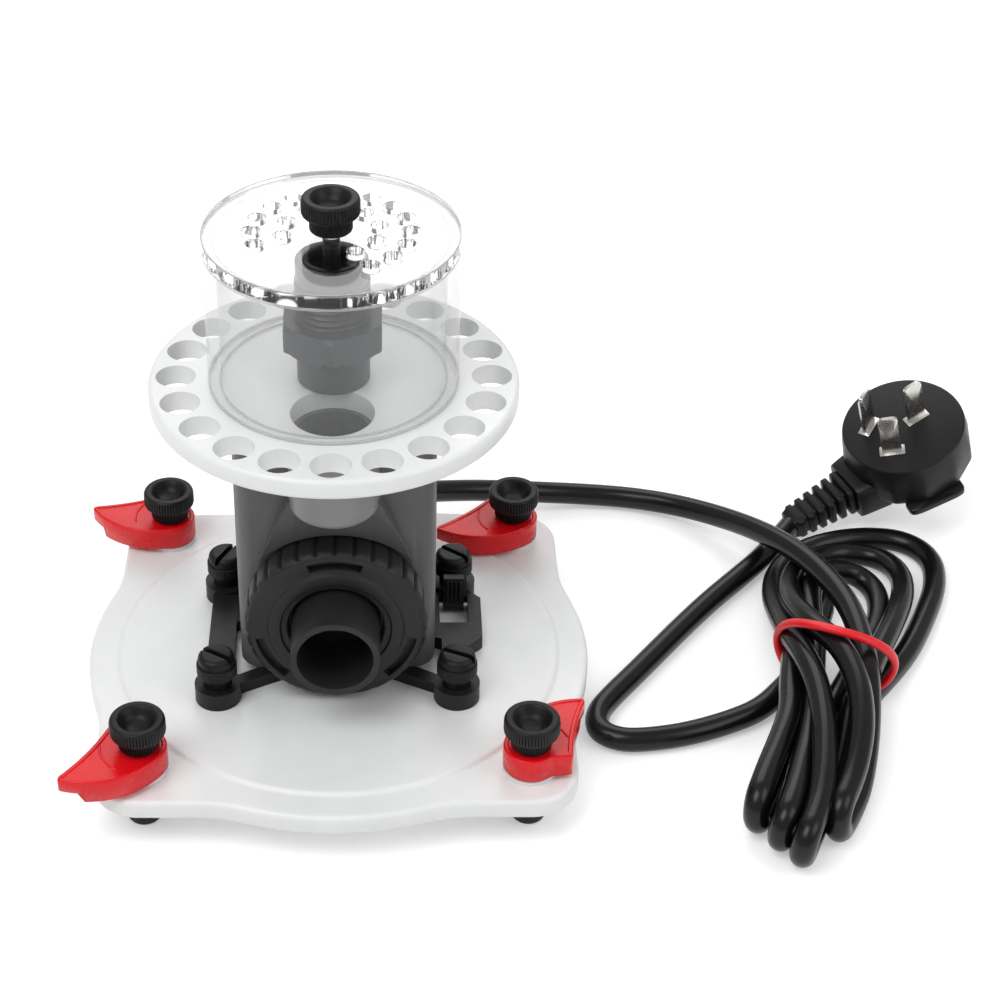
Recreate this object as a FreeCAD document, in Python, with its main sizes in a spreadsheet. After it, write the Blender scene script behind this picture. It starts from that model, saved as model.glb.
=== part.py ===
"""Protein skimmer base assembly: a needle-wheel pump on a moulded base plate, with a bubble plate,
a clear cup and the mains lead. Millimetres, +Z up, origin on the floor under the middle of the base.
+Y points away from the pump's intake."""

import FreeCAD, Part

import math
import os
import re

import Sketcher
from FreeCAD import Placement, Rotation, Vector

doc = FreeCAD.newDocument("protein_skimmer")
sheet = doc.addObject("Spreadsheet::Sheet", "Sizes")

UP = Vector(0, 0, 1)
BACK = Vector(0, 1, 0)
ACROSS = Vector(1, 0, 0)

# Driving sizes ------------------------------------------------------------------------------------

SIZES = {
    # base plate
    "base_radius": 76.0,
    "base_bottom": 12.0,
    "base_thickness": 6.0,
    "base_rim_round": 1.6,
    "plateau_margin": 9.4,
    "plateau_rise": 0.9,
    "ear_radius": 14.0,
    "ear_blend": 12.0,
    "ear_boss_radius": 7.6,
    "ear_boss_rise": 1.3,
    "ear_stand_out": 2.49,
    # feet, and the nuts moulded into them
    "foot_top_radius": 8.2,
    "foot_bottom_radius": 5.6,
    "foot_round": 1.5,
    "foot_stud_play": 0.5,
    "foot_stud_depth": 2.0,
    "foot_nut_radius": 4.6,
    "foot_nut_height": 4.0,
    # thumbscrews
    "knob_radius": 8.0,
    "knob_head": 5.3,
    "knob_collar_radius": 5.9,
    "knob_collar": 4.5,
    "knob_dish_radius": 5.0,
    "knob_dish_depth": 3.6,
    "knob_shaft_radius": 2.45,
    "running_fit": 0.08,
    "body_gap": 0.2,
    "stud_play": 0.3,
    # cams
    "cam_hub_radius": 7.9,
    "cam_height": 7.7,
    "cam_reach": 26.0,
    "cam_fin_radius": 24.0,
    "cam_tip_height": 4.6,
    "cam_tip_length": 5.0,
    "cam_heel_reach": 12.6,
    # pump bracket
    "boss_pitch_x": 35.3,
    "boss_pitch_y": 24.8,
    "pad_radius": 6.8,
    "pad_height": 5.7,
    "rail_width": 8.0,
    "rail_lip": 2.2,
    "rail_drop": 1.2,
    "web_width": 7.0,
    "web_set_back": 10.5,
    "cross_bar_front": 6.0,
    "cross_bar_margin": 4.5,
    "cross_bar_height": 4.0,
    "window_front": 4.6,
    "window_rear": 17.8,
    "window_width": 8.8,
    "bulge_width": 4.4,
    "bulge_margin": 7.0,
    # bracket screws
    "screw_head_radius": 5.4,
    "screw_head": 7.0,
    "screw_collar_radius": 4.2,
    "screw_collar": 3.8,
    "screw_slot_width": 1.6,
    "screw_slot_depth": 2.2,
    "screw_shaft_radius": 2.0,
    "screw_play": 0.25,
    "screw_dome": 1.6,
    "insert_radius": 3.2,
    "insert_height": 5.4,
    # release tab
    "tab_width": 6.4,
    "tab_thickness": 2.6,
    "tab_height": 13.6,
    "tab_pin_radius": 1.0,
    "tab_axis_rise": 2.4,
    "tab_gap": 0.35,
    "tab_barrel_radius": 1.7,
    "tab_rib_width": 0.8,
    # pump housing
    "nut_floor_gap": 1.3,
    "housing_half_width": 29.0,
    "housing_front": -16.0,
    "housing_rear": 16.0,
    "housing_top": 104.0,
    "housing_corner": 7.0,
    "chamber_radius": 19.5,
    "chamber_front": -11.0,
    "outlet_offset": -18.8,
    "outlet_radius": 12.6,
    "outlet_bore": 10.2,
    "outlet_drop": 19.7,
    "outlet_rise": 5.3,
    "outlet_round": 2.6,
    "duct_half_width": 8.0,
    "duct_depth": 10.0,
    "duct_rear": 4.0,
    "outlet_floor": 2.0,
    "shoulder_low": 0.72,
    "shoulder_inset": 1.0,
    "shoulder_set_back": 8.4,
    "shoulder_rise": 6.0,
    "neck_radius": 23.0,
    "neck_front": -21.0,
    "neck_bore": 14.5,
    # union nut and intake pipe
    "nut_skirt": 3.6,
    "nut_gap": 0.3,
    "nut_front": -27.2,
    "nut_wall": 3.4,
    "nut_ring_inset": 6.85,
    "nut_ring_rise": 1.0,
    "nut_hole_play": 0.9,
    "nut_slot_inset": 4.2,
    "nut_slot_width": 2.6,
    "nut_slot_depth": 2.4,
    "pipe_radius": 12.8,
    "pipe_wall": 2.0,
    "pipe_front": -42.0,
    "flange_play": 1.4,
    "flange_thickness": 1.9,
    "seal_thickness": 0.6,
    # motor
    "motor_radius": 23.5,
    "motor_wall": 2.4,
    "motor_flange": 4.0,
    "motor_flange_margin": 2.5,
    "motor_flange_round": 5.0,
    "motor_rear": 44.0,
    "cap_thickness": 4.0,
    "cap_round": 1.5,
    "can_radius": 11.6,
    "can_wall": 0.9,
    "can_rear": 38.0,
    "stator_rear": 40.0,
    "motor_screw_inset": 4.5,
    "motor_screw_pitch_z": 17.0,
    "motor_screw_play": 0.2,
    "motor_screw_tip_gap": 0.5,
    "motor_screw_radius": 1.5,
    "motor_screw_head": 3.0,
    "motor_screw_head_height": 2.2,
    "motor_screw_length": 12.0,
    # rotor
    "shaft_radius": 1.5,
    "shaft_front": -10.2,
    "shaft_rear": 37.0,
    "magnet_radius": 9.6,
    "magnet_front": 12.6,
    "magnet_rear": 33.4,
    "wheel_radius": 16.0,
    "wheel_hub_radius": 5.0,
    "wheel_plate": 2.0,
    "wheel_front": -6.0,
    "wheel_pin_radius": 0.8,
    "wheel_pin_length": 9.0,
    "bush_radius": 4.0,
    "bush_length": 3.2,
    "spider_hub_wall": 1.4,
    "spider_rim": 2.2,
    "spider_set_back": 0.3,
    # bubble plate
    "plate_radius": 52.0,
    "plate_thickness": 6.0,
    "plate_rim_round": 1.4,
    "plate_hole_radius": 5.65,
    "plate_hole_margin": 7.8,
    "plate_hole_count": 20,
    "outlet_window_radius": 11.6,
    # clear cup
    "cup_radius": 35.0,
    "cup_wall": 3.6,
    "cup_height": 45.7,
    "lid_thickness": 4.0,
    "lid_hole_radius": 2.4,
    "lid_outer_circle": 21.5,
    "lid_outer_step": 20.0,
    "lid_outer_count": 14,
    "lid_inner_circle": 13.35,
    "lid_inner_step": 36.0,
    "lid_inner_count": 8,
    # post
    "post_height": 35.0,
    "post_foot_radius": 10.2,
    "post_foot_height": 11.5,
    "post_hex_radius": 15.6,
    "post_hex_height": 8.5,
    "post_thread_radius": 10.45,
    "post_bore": 8.0,
    "insert_sleeve": 14.0,
    "insert_mouth_radius": 6.6,
    "insert_mouth_depth": 4.0,
    "shaft_into_insert": 9.0,
    # lead
    "lead_radius": 3.7,
    "relief_start_radius": 6.4,
    "relief_end_radius": 4.3,
    "relief_length": 24.0,
    # tie round the hank
    "tie_width": 3.4,
    "tie_thickness": 1.8,
    # plug
    "plug_face_radius": 20.0,
    "plug_body_radius": 21.8,
    "plug_back_radius": 15.5,
    "plug_depth": 24.0,
    "plug_waist": 8.0,
    "plug_relief_reach": 47.0,
    "plug_relief_root": 12.0,
    "plug_relief_thick": 7.5,
    "plug_relief_thin": 4.6,
    "pin_width": 6.4,
    "pin_thickness": 1.55,
    "pin_length": 17.2,
    "pin_root": 4.0,
}

# Sizes that follow from the ones above
FOLLOWING = {
    "plateau_radius": "base_radius - plateau_margin",
    "knob_pitch": "(base_radius + ear_stand_out) / sqrt(2)",
    "nut_radius": "neck_radius + nut_skirt",
    "nut_ring_radius": "nut_radius - nut_ring_inset",
    "nut_slot_radius": "nut_radius - nut_slot_inset",
    "nut_hole_radius": "pipe_radius + nut_hole_play",
    "pipe_bore": "pipe_radius - pipe_wall",
    "flange_radius": "neck_radius - flange_play",
    "axis_height": "base_bottom + base_thickness + plateau_rise + nut_floor_gap + nut_radius",
    "motor_flange_half": "motor_radius + motor_flange_margin",
    "motor_screw_pitch_x": "motor_flange_half - motor_screw_inset",
    "outlet_bottom": "housing_top - outlet_drop",
    "plate_bottom": "housing_top + outlet_rise",
    "plate_hole_circle": "plate_radius - plate_hole_margin",
    "cup_top": "plate_bottom + plate_thickness + body_gap + cup_height",
}
SIZES.update({alias: "=" + formula for alias, formula in FOLLOWING.items()})

for row, alias in enumerate(SIZES, start=1):
    sheet.set("A%d" % row, alias)
    sheet.setAlias("B%d" % row, alias)
for row, value in enumerate(SIZES.values(), start=1):
    sheet.set("B%d" % row, str(value))
doc.recompute()


def size(text):
    """The value of a formula written with the sheet's names, worked out by the document itself."""
    probe = doc.addObject("App::FeaturePython", "Probe")
    probe.addProperty("App::PropertyFloat", "Value")
    probe.setExpression("Value", named(text))
    probe.recompute()
    value = probe.Value
    doc.removeObject(probe.Name)
    return value


def named(text):
    """Puts the sheet's name before each size in a formula."""
    return re.sub(r"[a-z][a-z_]*", lambda word: "Sizes." + word[0] if word[0] in SIZES else word[0], text)


# Building blocks ------------------------------------------------------------------------------------


def bind(item, **formulas):
    for prop, text in formulas.items():
        item.setExpression(prop, named(str(text)))
    return item


def put(item, at=("0", "0", "0"), axis=UP, turn=0.0):
    """Stands the item at a point, its own Z along axis, turned about that Z first."""
    turned = Rotation(UP, axis).multiply(Rotation(UP, turn))
    item.Placement = Placement(Vector(), turned)
    for key, text in zip("xyz", at):
        item.setExpression("Placement.Base." + key, named(str(text)))
    return item


def cylinder(name, radius, height, at=("0", "0", "0"), axis=UP):
    return put(bind(doc.addObject("Part::Cylinder", name), Radius=radius, Height=height), at, axis)


def cone(name, radius_low, radius_high, height, at=("0", "0", "0"), axis=UP):
    item = doc.addObject("Part::Cone", name)
    return put(bind(item, Radius1=radius_low, Radius2=radius_high, Height=height), at, axis)


def box(name, length, width, height, at, turn=0.0):
    item = doc.addObject("Part::Box", name)
    return put(bind(item, Length=length, Width=width, Height=height), at, turn=turn)


def tube(name, radius, bore, height, at, axis=UP):
    outer = cylinder(name + "_outer", radius, height, at, axis)
    inner = cylinder(name + "_bore", bore, height, at, axis)
    return cut(name, outer, inner)


def fuse(name, *items):
    item = doc.addObject("Part::MultiFuse", name)
    item.Shapes = list(items)
    item.Refine = True
    return item


def cut(name, base, *tools):
    item = doc.addObject("Part::Cut", name)
    item.Base = base
    item.Tool = tools[0] if len(tools) == 1 else fuse(name + "_tools", *tools)
    return item


def group(name, items):
    """Identical pieces that share one node, each a solid of its own."""
    item = doc.addObject("Part::Compound", name)
    item.Links = list(items)
    return item


def rounded(name, base, radius, wanted):
    """Rounds the edges of base for which wanted(edge) is true."""
    doc.recompute()
    reach = size(radius)
    edges = [(i, reach, reach) for i, edge in enumerate(base.Shape.Edges, start=1) if wanted(edge)]
    item = doc.addObject("Part::Fillet", name)
    item.Base = base
    item.Edges = edges
    return item


def solid(name, shape):
    item = doc.addObject("Part::Feature", name)
    item.Shape = shape
    return item


def corners():
    """The four knob places: label, X sign, Y sign."""
    return [("front_left", -1, -1), ("front_right", 1, -1), ("rear_left", -1, 1), ("rear_right", 1, 1)]


def signed(sign, text):
    return "%d * (%s)" % (sign, text)


def is_upright(edge):
    low, high = edge.BoundBox.ZMin, edge.BoundBox.ZMax
    return len(edge.Vertexes) == 2 and abs(edge.Vertexes[0].X - edge.Vertexes[1].X) < 1e-3 \
        and abs(edge.Vertexes[0].Y - edge.Vertexes[1].Y) < 1e-3 and high - low > 0.5


def lies_at(edge, height):
    return abs(edge.BoundBox.ZMin - height) < 1e-3 and abs(edge.BoundBox.ZMax - height) < 1e-3


NODES = {}


def node(item, label):
    """Gives a sub-part its label, which is also the name of its file."""
    item.Label = label
    NODES[label] = item
    return item


# Heights that several pieces share
BASE_TOP = "base_bottom + base_thickness"
PLATEAU_TOP = BASE_TOP + " + plateau_rise"
CAM_BOTTOM = BASE_TOP + " + ear_boss_rise + body_gap"
CAM_TOP = CAM_BOTTOM + " + cam_height"
KNOB_BOTTOM = CAM_TOP + " + body_gap"
PAD_TOP = PLATEAU_TOP + " + pad_height"
SEAT_TOP = PLATEAU_TOP + " + cross_bar_height"
PLATE_TOP = "plate_bottom + plate_thickness"
CUP_BOTTOM = PLATE_TOP + " + body_gap"
LID_BOTTOM = "cup_top - lid_thickness"
POST_TOP = PLATE_TOP + " + post_height"


# Base plate -----------------------------------------------------------------------------------------


def base_plate():
    disc = cylinder("base_disc", "base_radius", "base_thickness", ("0", "0", "base_bottom"))
    side = "2 * (knob_pitch + ear_radius)"
    start = "-(knob_pitch + ear_radius)"
    square = box("base_square", side, side, "base_thickness", (start, start, "base_bottom"))
    lobes = rounded("base_lobes", square, "ear_radius", is_upright)
    outline = fuse("base_outline", disc, lobes)
    blended = rounded("base_blend", outline, "ear_blend", hollow_corner)
    top = size(BASE_TOP)
    rim = rounded("base_rim", blended, "base_rim_round", lambda edge: lies_at(edge, top))
    plateau = cylinder("base_plateau", "plateau_radius", "plateau_rise", ("0", "0", BASE_TOP))
    bosses = [
        cylinder("ear_boss_" + label, "ear_boss_radius", "ear_boss_rise",
                 (signed(sx, "knob_pitch"), signed(sy, "knob_pitch"), BASE_TOP))
        for label, sx, sy in corners()
    ]
    solid_plate = fuse("base_solid", rim, plateau, *bosses)
    holes = []
    for label, sx, sy in corners():
        at = (signed(sx, "knob_pitch"), signed(sy, "knob_pitch"), "base_bottom")
        holes.append(cylinder("stud_hole_" + label, "knob_shaft_radius + stud_play",
                              "base_thickness + ear_boss_rise", at))
        at = (signed(sx, "boss_pitch_x"), signed(sy, "boss_pitch_y"), PLATEAU_TOP + " - insert_height")
        holes.append(cylinder("insert_hole_" + label, "insert_radius", "insert_height", at))
    return node(cut("base_cut", solid_plate, *holes), "base_plate")


def hollow_corner(edge):
    """An upright edge where the disc meets a lobe's straight side."""
    if not is_upright(edge):
        return False
    away = math.hypot(edge.Vertexes[0].X, edge.Vertexes[0].Y)
    return abs(away - size("base_radius")) < 0.01


def feet():
    made, nuts = [], []
    for label, sx, sy in corners():
        at = (signed(sx, "knob_pitch"), signed(sy, "knob_pitch"), "0")
        body = cone("foot_body_" + label, "foot_bottom_radius", "foot_top_radius", "base_bottom", at)
        bottom = rounded("foot_round_" + label, body, "foot_round", lambda edge: lies_at(edge, 0.0))
        seat = (at[0], at[1], "base_bottom - foot_nut_height")
        pocket = hexagon("foot_pocket_" + label, "foot_nut_radius", "foot_nut_height", seat)
        relief = cylinder("foot_relief_" + label, "knob_shaft_radius + foot_stud_play",
                          "foot_nut_height + foot_stud_depth",
                          (at[0], at[1], "base_bottom - foot_nut_height - foot_stud_depth"))
        made.append(cut("foot_" + label, bottom, pocket, relief))
        nut = hexagon("foot_nut_body_" + label, "foot_nut_radius", "foot_nut_height", seat)
        bore = cylinder("foot_nut_bore_" + label, "knob_shaft_radius + running_fit", "foot_nut_height", seat)
        nuts.append(cut("foot_nut_" + label, nut, bore))
    node(group("feet_group", made), "rubber_feet")
    node(group("foot_nuts_group", nuts), "foot_nuts")


def hexagon(name, radius, height, at):
    item = doc.addObject("Part::Prism", name)
    item.Polygon = 6
    return put(bind(item, Circumradius=radius, Height=height), at)


def thumbscrew(name, at, length):
    """A dished head on a narrower collar, with a shaft of the given length below it."""
    x, y, z = at
    collar = cylinder(name + "_collar", "knob_collar_radius", "knob_collar", at)
    head = cylinder(name + "_head", "knob_radius", "knob_head", (x, y, z + " + knob_collar"))
    shaft = cylinder(name + "_shaft", "knob_shaft_radius", length, (x, y, "%s - (%s)" % (z, length)))
    whole = fuse(name + "_whole", collar, head, shaft)
    dish = cone(name + "_dish", "knob_dish_radius * 0.45", "knob_dish_radius", "knob_dish_depth",
                (x, y, z + " + knob_collar + knob_head - knob_dish_depth"))
    return cut(name + "_cut", whole, dish)


# Cams -----------------------------------------------------------------------------------------------

CAM_TIP_ANGLES = {"front_left": 213.5, "front_right": 51.0, "rear_left": 170.0, "rear_right": 196.0}


def cam_outline():
    """A shark fin: the hub circle, an arc that leaves it tangent and ends in the tip, then a hollow
    arc back to the heel. The tip lies on +X."""
    hub, reach, fin = size("cam_hub_radius"), size("cam_reach"), size("cam_fin_radius")
    spread = fin - hub
    lean = math.acos((spread ** 2 + reach ** 2 - fin ** 2) / (2 * spread * reach))
    centre = Vector(spread * math.cos(lean), -spread * math.sin(lean), 0)
    leave = Vector(-hub * math.cos(lean), hub * math.sin(lean), 0)
    tip = Vector(reach, 0, 0)
    middle = (tip + leave) * 0.5 - centre
    crown = centre + middle.normalize() * fin
    heel = turned(size("cam_heel_reach"), -73.0)
    step = turned(hub, -95.0)
    far = turned(hub, -200.0)
    dip = (tip + heel) * 0.5 + Vector(-0.6, 0.9, 0)
    blunt = tip + Vector(-0.9, -1.2, 0)
    return Part.Wire([
        Part.Arc(leave, crown, tip).toShape(),
        Part.LineSegment(tip, blunt).toShape(),
        Part.Arc(blunt, dip, heel).toShape(),
        Part.LineSegment(heel, step).toShape(),
        Part.Arc(step, far, leave).toShape(),
    ])


def turned(radius, degrees):
    angle = math.radians(degrees)
    return Vector(radius * math.cos(angle), radius * math.sin(angle), 0)


def cam(label, sx, sy):
    """One cam latch, its thin tip stepped up from below."""
    height, tip = size("cam_height"), size("cam_tip_height")
    fin = Part.Face(cam_outline()).extrude(Vector(0, 0, height))
    step = Part.makeBox(size("cam_tip_length") + 2, 60, height - tip)
    step.translate(Vector(size("cam_reach") - size("cam_tip_length"), -30, 0))
    bore = Part.makeCylinder(size("knob_shaft_radius + running_fit"), height)
    body = fin.cut(step).cut(bore)
    item = solid("cam_body_" + label, body)
    at = (signed(sx, "knob_pitch"), signed(sy, "knob_pitch"), CAM_BOTTOM)
    put(item, at, turn=CAM_TIP_ANGLES[label])
    return node(item, "cam_" + label)


def cams_and_knobs():
    for label, sx, sy in corners():
        cam(label, sx, sy)
        at = (signed(sx, "knob_pitch"), signed(sy, "knob_pitch"), KNOB_BOTTOM)
        length = KNOB_BOTTOM + " - base_bottom + foot_nut_height"
        node(thumbscrew("knob_" + label, at, length), "thumbscrew_" + label)


# Pump bracket ---------------------------------------------------------------------------------------


RAIL_INNER = "boss_pitch_x - rail_width / 2"
RAIL_HEIGHT = "pad_height - rail_drop"


def bracket():
    parts, holes = [], []
    for label, sx, sy in corners():
        at = (signed(sx, "boss_pitch_x"), signed(sy, "boss_pitch_y"), PLATEAU_TOP)
        parts.append(cylinder("pad_" + label, "pad_radius", "pad_height", at))
        holes.append(cylinder("pad_hole_" + label, "screw_shaft_radius + screw_play", "pad_height", at))
    for side, start in (("left", "-(%s) - rail_width" % RAIL_INNER), ("right", RAIL_INNER)):
        parts.append(box("rail_" + side, "rail_width", "2 * boss_pitch_y", RAIL_HEIGHT,
                         (start, "-boss_pitch_y", PLATEAU_TOP)))
    parts.append(box("cross_bar", "2 * boss_pitch_x", "boss_pitch_y + cross_bar_margin - cross_bar_front",
                     "cross_bar_height", ("-boss_pitch_x", "cross_bar_front", PLATEAU_TOP)))
    parts.append(bulge())
    parts.append(front_webs())
    frame = fuse("bracket_frame", *parts)
    window = box("bracket_window", "window_width", "window_rear - window_front", "pad_height",
                 ("boss_pitch_x - window_width / 2", "window_front", PLATEAU_TOP))
    pin_hole = cylinder("tab_pin_hole", "tab_pin_radius", TAB_PIN_LENGTH, TAB_PIN_START, ACROSS)
    return node(cut("bracket_cut", frame, window, pin_hole, *holes), "pump_bracket")


def prism(name, points, height):
    """A straight prism on the plateau from the corners of its outline."""
    outline = Part.makePolygon(points + points[:1])
    item = solid(name, Part.Face(outline).extrude(Vector(0, 0, size(height))))
    return put(item, ("0", "0", PLATEAU_TOP))


def bulge():
    """The right rail widens round the release tab's window, with slanted ends."""
    inner = size(RAIL_INNER) - size("rail_lip")
    outer = size(RAIL_INNER) + size("rail_width") + size("bulge_width")
    front = size("window_front") - size("bulge_margin")
    rear = size("window_rear") + size("bulge_margin") / 2
    slant = size("bulge_width")
    return prism("rail_bulge", [
        Vector(inner, front, 0), Vector(outer - slant, front - slant, 0), Vector(outer, front, 0),
        Vector(outer, rear - slant, 0), Vector(outer - slant, rear, 0), Vector(inner, rear, 0),
    ], RAIL_HEIGHT)


def front_webs():
    """The V-shaped web from both front pads back to the middle, behind the union nut."""
    pad_x, pad_y = size("boss_pitch_x"), -size("boss_pitch_y")
    middle_y, width = size("housing_front + web_set_back"), size("web_width")
    run = math.hypot(pad_x, middle_y - pad_y)
    aside_x = (middle_y - pad_y) / run * width / 2
    aside_y = pad_x / run * width / 2
    right = [(0, middle_y - aside_y), (pad_x + aside_x, pad_y - aside_y), (pad_x - aside_x, pad_y + aside_y)]
    left = [(-x, y) for x, y in reversed(right[1:])]
    points = right + [(0, middle_y + aside_y)] + left
    return prism("front_webs", [Vector(x, y, 0) for x, y in points], "cross_bar_height")


TAB_PLACE_Y = "window_rear - tab_gap - tab_barrel_radius"
TAB_PLACE_Z = PLATEAU_TOP + " + tab_axis_rise"
TAB_PIN_LENGTH = "window_width + rail_lip + bulge_width - 2"
TAB_PIN_START = ("boss_pitch_x - window_width / 2 - rail_lip + 1", TAB_PLACE_Y, TAB_PLACE_Z)
TAB_RIBS = 4


def release_tab():
    """A ribbed finger tab that tilts on a pin across the bracket's window."""
    start = ("boss_pitch_x - tab_width / 2", TAB_PLACE_Y, TAB_PLACE_Z)
    front = TAB_PLACE_Y + " - tab_thickness / 2"
    blade = box("tab_blade", "tab_width", "tab_thickness", "tab_height - tab_axis_rise",
                (start[0], front, TAB_PLACE_Z))
    barrel = cylinder("tab_barrel", "tab_barrel_radius", "tab_width", start, ACROSS)
    rib_height = "tab_height - tab_axis_rise - 4 * tab_rib_width"
    ribs = [
        box("tab_rib_%d" % i, "tab_rib_width", "tab_rib_width", rib_height,
            ("%s + tab_width * %f - tab_rib_width / 2" % (start[0], (i + 1) / (TAB_RIBS + 1)),
             front + " - tab_rib_width * 0.8", TAB_PLACE_Z + " + 3 * tab_rib_width"))
        for i in range(TAB_RIBS)
    ]
    whole = fuse("tab_whole", blade, barrel, *ribs)
    bore = cylinder("tab_bore", "tab_pin_radius + running_fit", "tab_width", start, ACROSS)
    node(cut("tab_cut", whole, bore), "release_tab")
    node(cylinder("tab_pin", "tab_pin_radius", TAB_PIN_LENGTH, TAB_PIN_START, ACROSS), "release_tab_pin")


SCREW_TOP = PAD_TOP + " + screw_collar + screw_head"
SCREW_TURNS = {"front_left": -32.0, "front_right": -25.0, "rear_left": 62.0, "rear_right": -38.0}


def bracket_screws():
    """Knurled slotted screws through the bracket's pads, each in a threaded insert in the base."""
    screws, inserts = [], []
    top = size(SCREW_TOP)
    for label, sx, sy in corners():
        x, y = signed(sx, "boss_pitch_x"), signed(sy, "boss_pitch_y")
        collar = cylinder("screw_collar_" + label, "screw_collar_radius", "screw_collar", (x, y, PAD_TOP))
        head = cylinder("screw_head_" + label, "screw_head_radius", "screw_head",
                        (x, y, PAD_TOP + " + screw_collar"))
        domed = rounded("screw_dome_" + label, head, "screw_dome", lambda edge: lies_at(edge, top))
        shaft = cylinder("screw_shaft_" + label, "screw_shaft_radius", "pad_height + insert_height",
                         (x, y, PLATEAU_TOP + " - insert_height"))
        whole = fuse("screw_whole_" + label, collar, domed, shaft)
        screws.append(cut("screw_" + label, whole, driver_slot(label, x, y)))
        inserts.append(tube("insert_" + label, "insert_radius", "screw_shaft_radius", "insert_height",
                            (x, y, PLATEAU_TOP + " - insert_height")))
    node(group("screws_group", screws), "bracket_screws")
    node(group("inserts_group", inserts), "bracket_inserts")


def driver_slot(label, x, y):
    length, width, depth = size("2.5 * screw_head_radius"), size("screw_slot_width"), size("screw_slot_depth")
    slot = Part.makeBox(length, width, 2 * depth, Vector(-length / 2, -width / 2, 0))
    item = solid("driver_slot_" + label, slot)
    return put(item, (x, y, SCREW_TOP + " - screw_slot_depth"), turn=SCREW_TURNS[label])


# Pump housing ---------------------------------------------------------------------------------------


def pump_housing():
    depth = "housing_rear - housing_front"
    block = box("housing_block", "2 * housing_half_width", depth, "housing_top - (%s)" % SEAT_TOP,
                ("-housing_half_width", "housing_front", SEAT_TOP))
    softened = rounded("housing_soft", block, "housing_corner",
                       lambda edge: is_upright(edge) and edge.Vertexes[0].Y < 0)
    outlet = cylinder("outlet_boss", "outlet_radius", "plate_bottom - outlet_bottom",
                      ("0", "outlet_offset", "outlet_bottom"))
    low = size("outlet_bottom")
    outlet_soft = rounded("outlet_soft", outlet, "outlet_round", lambda edge: lies_at(edge, low))
    neck = cylinder("housing_neck", "neck_radius", "housing_front + 1 - neck_front",
                    ("0", "neck_front", "axis_height"), BACK)
    body = fuse("housing_solid", softened, outlet_soft, shoulder(), neck)
    chamber = cylinder("chamber", "chamber_radius", "housing_rear - chamber_front",
                       ("0", "chamber_front", "axis_height"), BACK)
    intake = cylinder("intake_bore", "neck_bore", "chamber_front - neck_front",
                      ("0", "neck_front", "axis_height"), BACK)
    rise = box("rising_duct", "2 * duct_half_width", "duct_depth",
               "outlet_bottom + outlet_floor + duct_depth - axis_height",
               ("-duct_half_width", "duct_rear - duct_depth", "axis_height"))
    across = box("cross_duct", "2 * duct_half_width", "duct_rear - outlet_offset", "duct_depth",
                 ("-duct_half_width", "outlet_offset", "outlet_bottom + outlet_floor"))
    bore = cylinder("outlet_hole", "outlet_bore", "plate_bottom - outlet_bottom - outlet_floor",
                    ("0", "outlet_offset", "outlet_bottom + outlet_floor"))
    tapped = "motor_screw_length - motor_flange"
    taps = [
        cylinder("housing_tap_%d" % i, "motor_screw_radius", tapped,
                 (x, "housing_rear - (%s)" % tapped, z), BACK)
        for i, (x, z) in enumerate(motor_screw_places())
    ]
    return node(cut("housing_cut", body, chamber, intake, rise, across, bore, *taps), "pump_housing")


def motor_screw_places():
    """X and Z of the four screws through the motor's flange."""
    return [
        (signed(sx, "motor_screw_pitch_x"), "axis_height + %d * motor_screw_pitch_z" % sz)
        for sx, sz in ((-1, -1), (1, -1), (-1, 1), (1, 1))
    ]


def shoulder():
    """The sloping gusset that carries the outlet boss down to the neck, hollowed clear of the nut."""
    wedge = doc.addObject("Part::Wedge", "shoulder_wedge")
    low = "axis_height + neck_radius * shoulder_low"
    half_low, half_high = "neck_radius - shoulder_inset", "outlet_radius - shoulder_inset"
    front = "housing_front - (outlet_offset - outlet_radius) - shoulder_set_back"
    bind(wedge, Xmin="-(%s)" % half_low, Xmax=half_low,
         Ymin="0", Ymax="outlet_bottom + shoulder_rise - (%s)" % low,
         Zmin="0", Zmax="shoulder_inset", X2min="-(%s)" % half_high, X2max=half_high, Z2min="0", Z2max=front)
    wedge.Placement = Placement(Vector(), Rotation(ACROSS, UP, -BACK))
    bind(wedge, **{"Placement.Base.y": "housing_front + body_gap", "Placement.Base.z": low})
    space = cylinder("shoulder_nut_space", "nut_radius + 2 * nut_gap", "housing_front - nut_front + 1",
                     ("0", "nut_front - 1", "axis_height"), BACK)
    return cut("shoulder", wedge, space)


def union_nut():
    at = ("0", "nut_front", "axis_height")
    length = "housing_front - nut_gap - nut_front"
    body = cylinder("nut_body", "nut_radius", length, at, BACK)
    thread = cylinder("nut_thread", "neck_radius + running_fit", length + " - nut_wall",
                      ("0", "nut_front + nut_wall", "axis_height"), BACK)
    hole = cylinder("nut_hole", "nut_hole_radius", "nut_wall", at, BACK)
    ring = tube("nut_ring", "nut_ring_radius", "nut_hole_radius + 2.2", "nut_ring_rise",
                ("0", "nut_front - nut_ring_rise", "axis_height"), BACK)
    slots = nut_slots()
    whole = fuse("nut_solid", body, ring)
    return node(cut("nut_cut", whole, thread, hole, slots), "union_nut")


NUT_SLOT_SPAN = 40
NUT_SLOT_STARTS = (70, 190, 310)


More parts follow.
